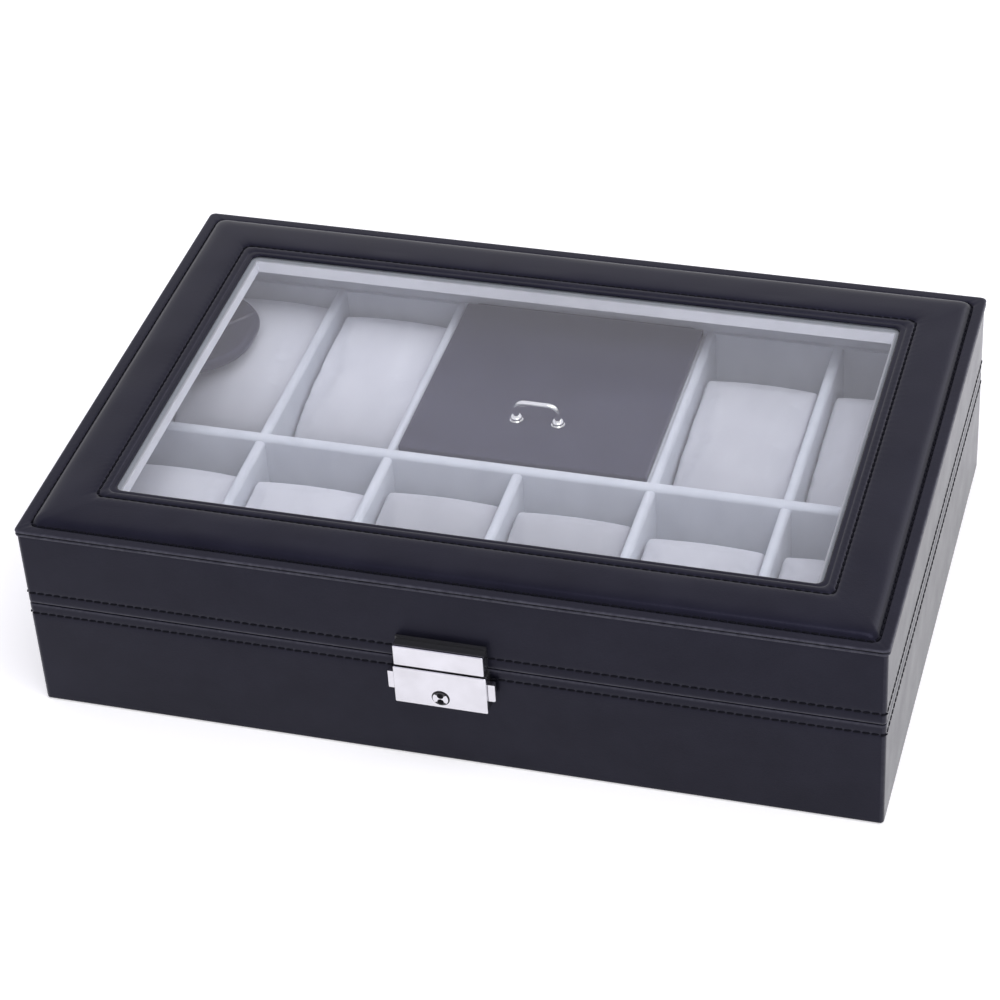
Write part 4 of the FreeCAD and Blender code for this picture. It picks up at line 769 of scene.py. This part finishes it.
# %% [markdown]
# ## The stay strap
# A wide leather band stops the big lid. One tail is glued behind the tray's liner and the other inside the
# lid, and with the lid shut the band lies folded between them. A band is a line in side view with a
# thickness, carried along the width. It crosses the hinge, from its lower layer to its upper one.

# %% Cut the stay strap
BASE_TAIL, LID_TAIL, LINER_FACE = -145.05, -144.65, -143.9
TAIL_FOOT, LOWER, UPPER, TAIL_HEAD = 38.1, 51.0, 55.0, 63.9
STRAP, BEND, FOLD = 0.86, 1.0, 2.0
REACH, FRONT_DROP, BACK_DROP, MIDDLE = 24.4, 13.1, 10.0, 0.53
CREASE_X, CREASE_Y, CREASE_RISE = -131.5, 55.9, 0.8


def band(line, across, thickness):
    """A band: side-view points (width, steps, 2) thickened along their normals and closed at both edges.
    line holds horizontal and vertical places, and across the places along the width."""
    ahead = np.gradient(line, axis=1)
    ahead /= np.linalg.norm(ahead, axis=2, keepdims=True)
    normal = np.stack((-ahead[..., 1], ahead[..., 0]), -1)
    rim = np.ones(len(across))
    rim[[0, -1]] = 0.0
    rim[[1, -2]] = 0.75
    half = thickness / 2 * rim[:, None, None]
    return np.concatenate((line + normal * half, (line - normal * half)[:, ::-1]), 1)


def beside_crease(x, y):
    """Distance from the crease, a straight line that runs slantwise over the fold."""
    return 0.75 * (x - CREASE_X) - 0.66 * (y - CREASE_Y)


def run(x, z):
    """Side-view points from horizontal and vertical places that may have different shapes."""
    return np.stack(np.broadcast_arrays(x, z), -1)


def stay_strap():
    """The strap's line: up behind the liner, out to the fold, back above and up the lid's lining.
    The fold reaches furthest at the middle of the width, and one crease runs slantwise over it."""
    low, high = (np.array(corner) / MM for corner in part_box("lid_stay_strap"))
    across = np.concatenate(((low[1],), np.linspace(low[1] + 0.3, high[1] - 0.3, 60), (high[1],)))
    share = np.clip((across - low[1]) / (high[1] - low[1]), 0, 1) - MIDDLE
    drop = np.where(share < 0, FRONT_DROP * np.abs(share / MIDDLE) ** 2.6,
                    BACK_DROP * np.abs(share / (1 - MIDDLE)) ** 3)
    reach = REACH - drop
    tip = (reach + LINER_FACE - FOLD)[:, None]
    one = np.linspace(0, 1, 25)
    bend = np.linspace(0, math.pi / 2, 7)
    fold = np.linspace(-math.pi / 2, math.pi / 2, 15)
    wide = np.ones_like(tip)
    back = tip + (LID_TAIL + BEND - tip) * one[:-1]
    beside = beside_crease(back, across[:, None])
    crease = np.exp(-(beside / 0.7) ** 2) * np.exp(-((back + 128.5) / 4.5) ** 4)
    line = np.concatenate((
        run(BASE_TAIL * wide, TAIL_FOOT + (LOWER - BEND - TAIL_FOOT) * one[:-1:3]),
        run((BASE_TAIL + BEND - BEND * np.cos(bend[:-1])) * wide, LOWER - BEND + BEND * np.sin(bend[:-1])),
        run(BASE_TAIL + BEND + (tip - BASE_TAIL - BEND) * one[:-1],
            LOWER + 0.35 * np.sin(math.pi * one[:-1]) * wide),
        run(tip + FOLD * np.cos(fold[:-1]), (LOWER + FOLD + FOLD * np.sin(fold[:-1])) * wide),
        run(back, UPPER - 0.5 * np.sin(math.pi * one[:-1]) + CREASE_RISE * crease),
        run((LID_TAIL + BEND - BEND * np.sin(bend[:-1])) * wide, UPPER + BEND - BEND * np.cos(bend[:-1])),
        run(LID_TAIL * wide, UPPER + BEND + (TAIL_HEAD - UPPER - BEND) * one[::3])), 1)
    return line, across


line, across = stay_strap()
loop = band(line, across, STRAP)
grid = np.stack((loop[..., 0], np.broadcast_to(across[:, None], loop.shape[:2]), loop[..., 1]), -1)
strap = grid_piece("stay_strap", grid, weld=True)
x, y, z = (points_of(strap.data) / MM).T
# The lighter line along the crease's top is a painted highlight on the fold.
give_value(strap.data, "wear_and_highlight", np.exp(-(beside_crease(x, y) / 0.6) ** 2 - ((x + 128) / 4) ** 4) * (z > 54))
dress(strap, glass_glare_leather)
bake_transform(strap)
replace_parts(strap, "lid_stay_strap")

# %% [markdown]
# ## The inner lid's hinge strip
# The little lid has no metal hinge. A strip of leather is glued to the tray's back wall and to the lid's
# edge, and bends when the lid is lifted. It falls from the wall to the edge in half a cosine wave. It is a
# band like the strap.

# %% Cut the inner lid's hinge strip
STRIP = 0.66
low, high = (np.array(corner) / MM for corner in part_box("inner_lid_hinge_strip"))
across = np.concatenate(((low[0],), np.linspace(low[0] + 0.3, high[0] - 0.3, 30), (high[0],)))
share = np.linspace(0, 1, 17)
fall = 0.5 - 0.5 * np.cos(math.pi * np.clip(1.12 * share, 0, 1))
line = np.stack((low[1] + (high[1] - low[1]) * share, high[2] - 0.35 - (high[2] - low[2] - 0.7) * fall), -1)
loop = band(np.broadcast_to(line, (len(across), *line.shape)), across, STRIP)
grid = np.stack((np.broadcast_to(across[:, None], loop.shape[:2]), loop[..., 0], loop[..., 1]), -1)
strip = grid_piece("inner_hinge_strip", grid, weld=True)
dress(strip, glass_glare_leather)
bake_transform(strip)
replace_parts(strip, "inner_lid_hinge_strip")

# %% [markdown]
# ## The lock's bow spring
# Behind the lock's face a bowed leaf of spring steel pushes both buttons out. A solid leaf would stay
# still while a button comes in and cuts into it. Here the leaf is two halves of one arc, each running
# from the middle of the bow to its own button.

# %% Bow the lock's spring
LEAF = 0.4


def spring_half(name, side):
    """Half of an arc of a circle, whose radius follows from its half chord c and its rise r as
    (c^2 + r^2) / 2r."""
    low, high = (np.array(corner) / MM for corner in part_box("lock_spring"))
    rise = high[2] - low[2] - LEAF
    radius = (high[0] ** 2 + rise ** 2) / (2 * rise)
    x = np.linspace(0, high[0], 25)
    z = low[2] + LEAF / 2 + rise - radius + np.sqrt(radius ** 2 - x ** 2)
    across = low[1] + (high[1] - low[1]) * np.array((0, 0.06, 0.15, 0.5, 0.85, 0.94, 1))
    line = np.stack((side * x, z), -1)
    loop = band(np.broadcast_to(line, (len(across), *line.shape)), across, LEAF)
    grid = np.stack((loop[..., 0], np.broadcast_to(across[:, None], loop.shape[:2]), loop[..., 1]), -1)
    piece = grid_piece(name, grid, weld=True)
    dress(piece, hinge_steel)
    return piece, high[0] * MM


for name, side in (("left", -1), ("right", 1)):
    half, tip = spring_half(name + "_spring_leaf", side)
    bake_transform(half)
    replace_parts(half, "lock_spring")

# %% [markdown]
# ## Dressing the solids
# The rigid parts are already right, so they only change their materials. A table of finish and
# part names is easier to check than a row of single lines, and the print shows whether any was missed.

# %% Give every solid its finish
DRESS = {
    card_velvet: ("liner_floor", "liner_front", "liner_back", "liner_left", "liner_right", "row_divider",
                  "front_dividers", "back_dividers", "lid_wall_lining", "inner_lid_lining",
                  "inner_lid_ledges", "lid_frame_board", "lid_front_panel", "lid_back_panel",
                  "lid_left_panel", "lid_right_panel"),
    painted_light_velvet: ("window_lining",),
    board_finish: ("base_front_panel", "base_back_panel", "base_left_panel", "base_right_panel",
                   "base_bottom_panel", "inner_lid_board"),
    bright_plate: ("left_button", "right_button"),
    handle_chrome: ("inner_lid_handle", "handle_collars"),
    lock_plate: ("lock_case", "latch_catch"),
    keyhole_plate: ("lock_barrel",),
    hinge_steel: ("hinge_base_leaves", "hinge_lid_leaves", "hinge_pins", "hinge_base_screws",
                  "hinge_lid_screws", "handle_screws"),
    glass_finish: ("window_glass",),
    foam_finish: ("lid_top_padding",),
    felt_finish: ("bottom_cover",),
}
for finish, names in DRESS.items():
    for name in names:
        dress(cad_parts[name], finish)
dressed = {name for names in DRESS.values() for name in names}
shown = {name for name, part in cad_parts.items() if not part.hide_render}
print("left plain", sorted(shown - dressed))

# %% [markdown]
# ## The paper
# The box stands on a sheet of white paper. The paper gets a little light of its own, only for rays that
# show something, so it stays white in the picture and still keeps the box's shadow.

# %% Lay the paper
def seen_ray(tree):
    """1 for rays that show something: from the camera, from a reflection or through glass."""
    rays = tree.nodes.new("ShaderNodeLightPath").outputs
    seen = maths(tree, "MAXIMUM", rays["Is Camera Ray"], rays["Is Glossy Ray"])
    return maths(tree, "MAXIMUM", seen, rays["Is Transmission Ray"])


PAPER_GLOW = 0.40
paper, tree, shader, place = new_finish("white_paper", Roughness=0.9, Specular_IOR_Level=0.1,
                                        Emission_Color=(1, 1, 1, 1))
feed(tree, shader,
     Base_Color=between(tree, noise(tree, place, 0.02, 4), (0.84, 0.84, 0.845), (0.86, 0.86, 0.865)),
     Emission_Strength=maths(tree, "MULTIPLY", seen_ray(tree), PAPER_GLOW))
reach = np.linspace(-4000, 4000, 9)
flat = np.stack((*np.meshgrid(reach, reach), np.full((9, 9), -0.05)), -1)
floor = piece_from_faces("paper_floor", flat.reshape(-1, 3), quads(9, 9, round_columns=False))
dress(floor, paper)
print("paper reaches", reach[-1], "mm to each side")

# %% [markdown]
# ## The room and its lamps
# Two wide soft lamps and the light of a white room give the velvet its level. The room shows white to the
# camera and in reflections, with a breath of blue overhead, which the leather's coat picks up.

# %% Light the room
ROOM_LIGHT, ROOM_SEEN = 0.68, 1.0
WHITE, OVERHEAD = (1, 1, 1, 1), (0.90, 0.88, 1.0, 1)
room = bpy.data.worlds.new("white_room")
bpy.context.scene.world = room
room.use_nodes = True
tree = room.node_tree
sky = tree.nodes["Background"]
way = add(tree, "ShaderNodeSeparateXYZ", "Z", Vector=add(tree, "ShaderNodeTexCoord", "Generated"))
height = add(tree, "ShaderNodeMapRange", Value=way, From_Min=0.1, From_Max=0.55)
viewed = add(tree, "ShaderNodeLightPath", "Is Camera Ray")
strength = add(tree, "ShaderNodeMapRange", Value=seen_ray(tree), To_Min=ROOM_LIGHT, To_Max=ROOM_SEEN)
feed(tree, sky, Color=mixed(tree, viewed, mixed(tree, height, WHITE, OVERHEAD), WHITE), Strength=strength)


def soft_lamp(name, place, aim, size, power):
    """A square lamp at a place in metres, turned to aim."""
    lamp = bpy.data.lights.new(name, "AREA")
    lamp.shape, lamp.size, lamp.energy = "SQUARE", size, power
    holder = bpy.data.objects.new(name, lamp)
    holder.location = place
    holder.rotation_euler = (Vector(aim) - Vector(place)).to_track_quat("-Z", "Y").to_euler()
    bpy.context.scene.collection.objects.link(holder)
    print(name, power, "W")


soft_lamp("high_lamp", (0.45, -0.55, 1.5), aim=(0, 0, 0.05), size=1.2, power=12)
soft_lamp("side_lamp", (0.9, 1.1, 0.9), aim=(0.3, 0.3, 0), size=1.0, power=4)
bpy.context.scene.view_settings.view_transform = "Standard"
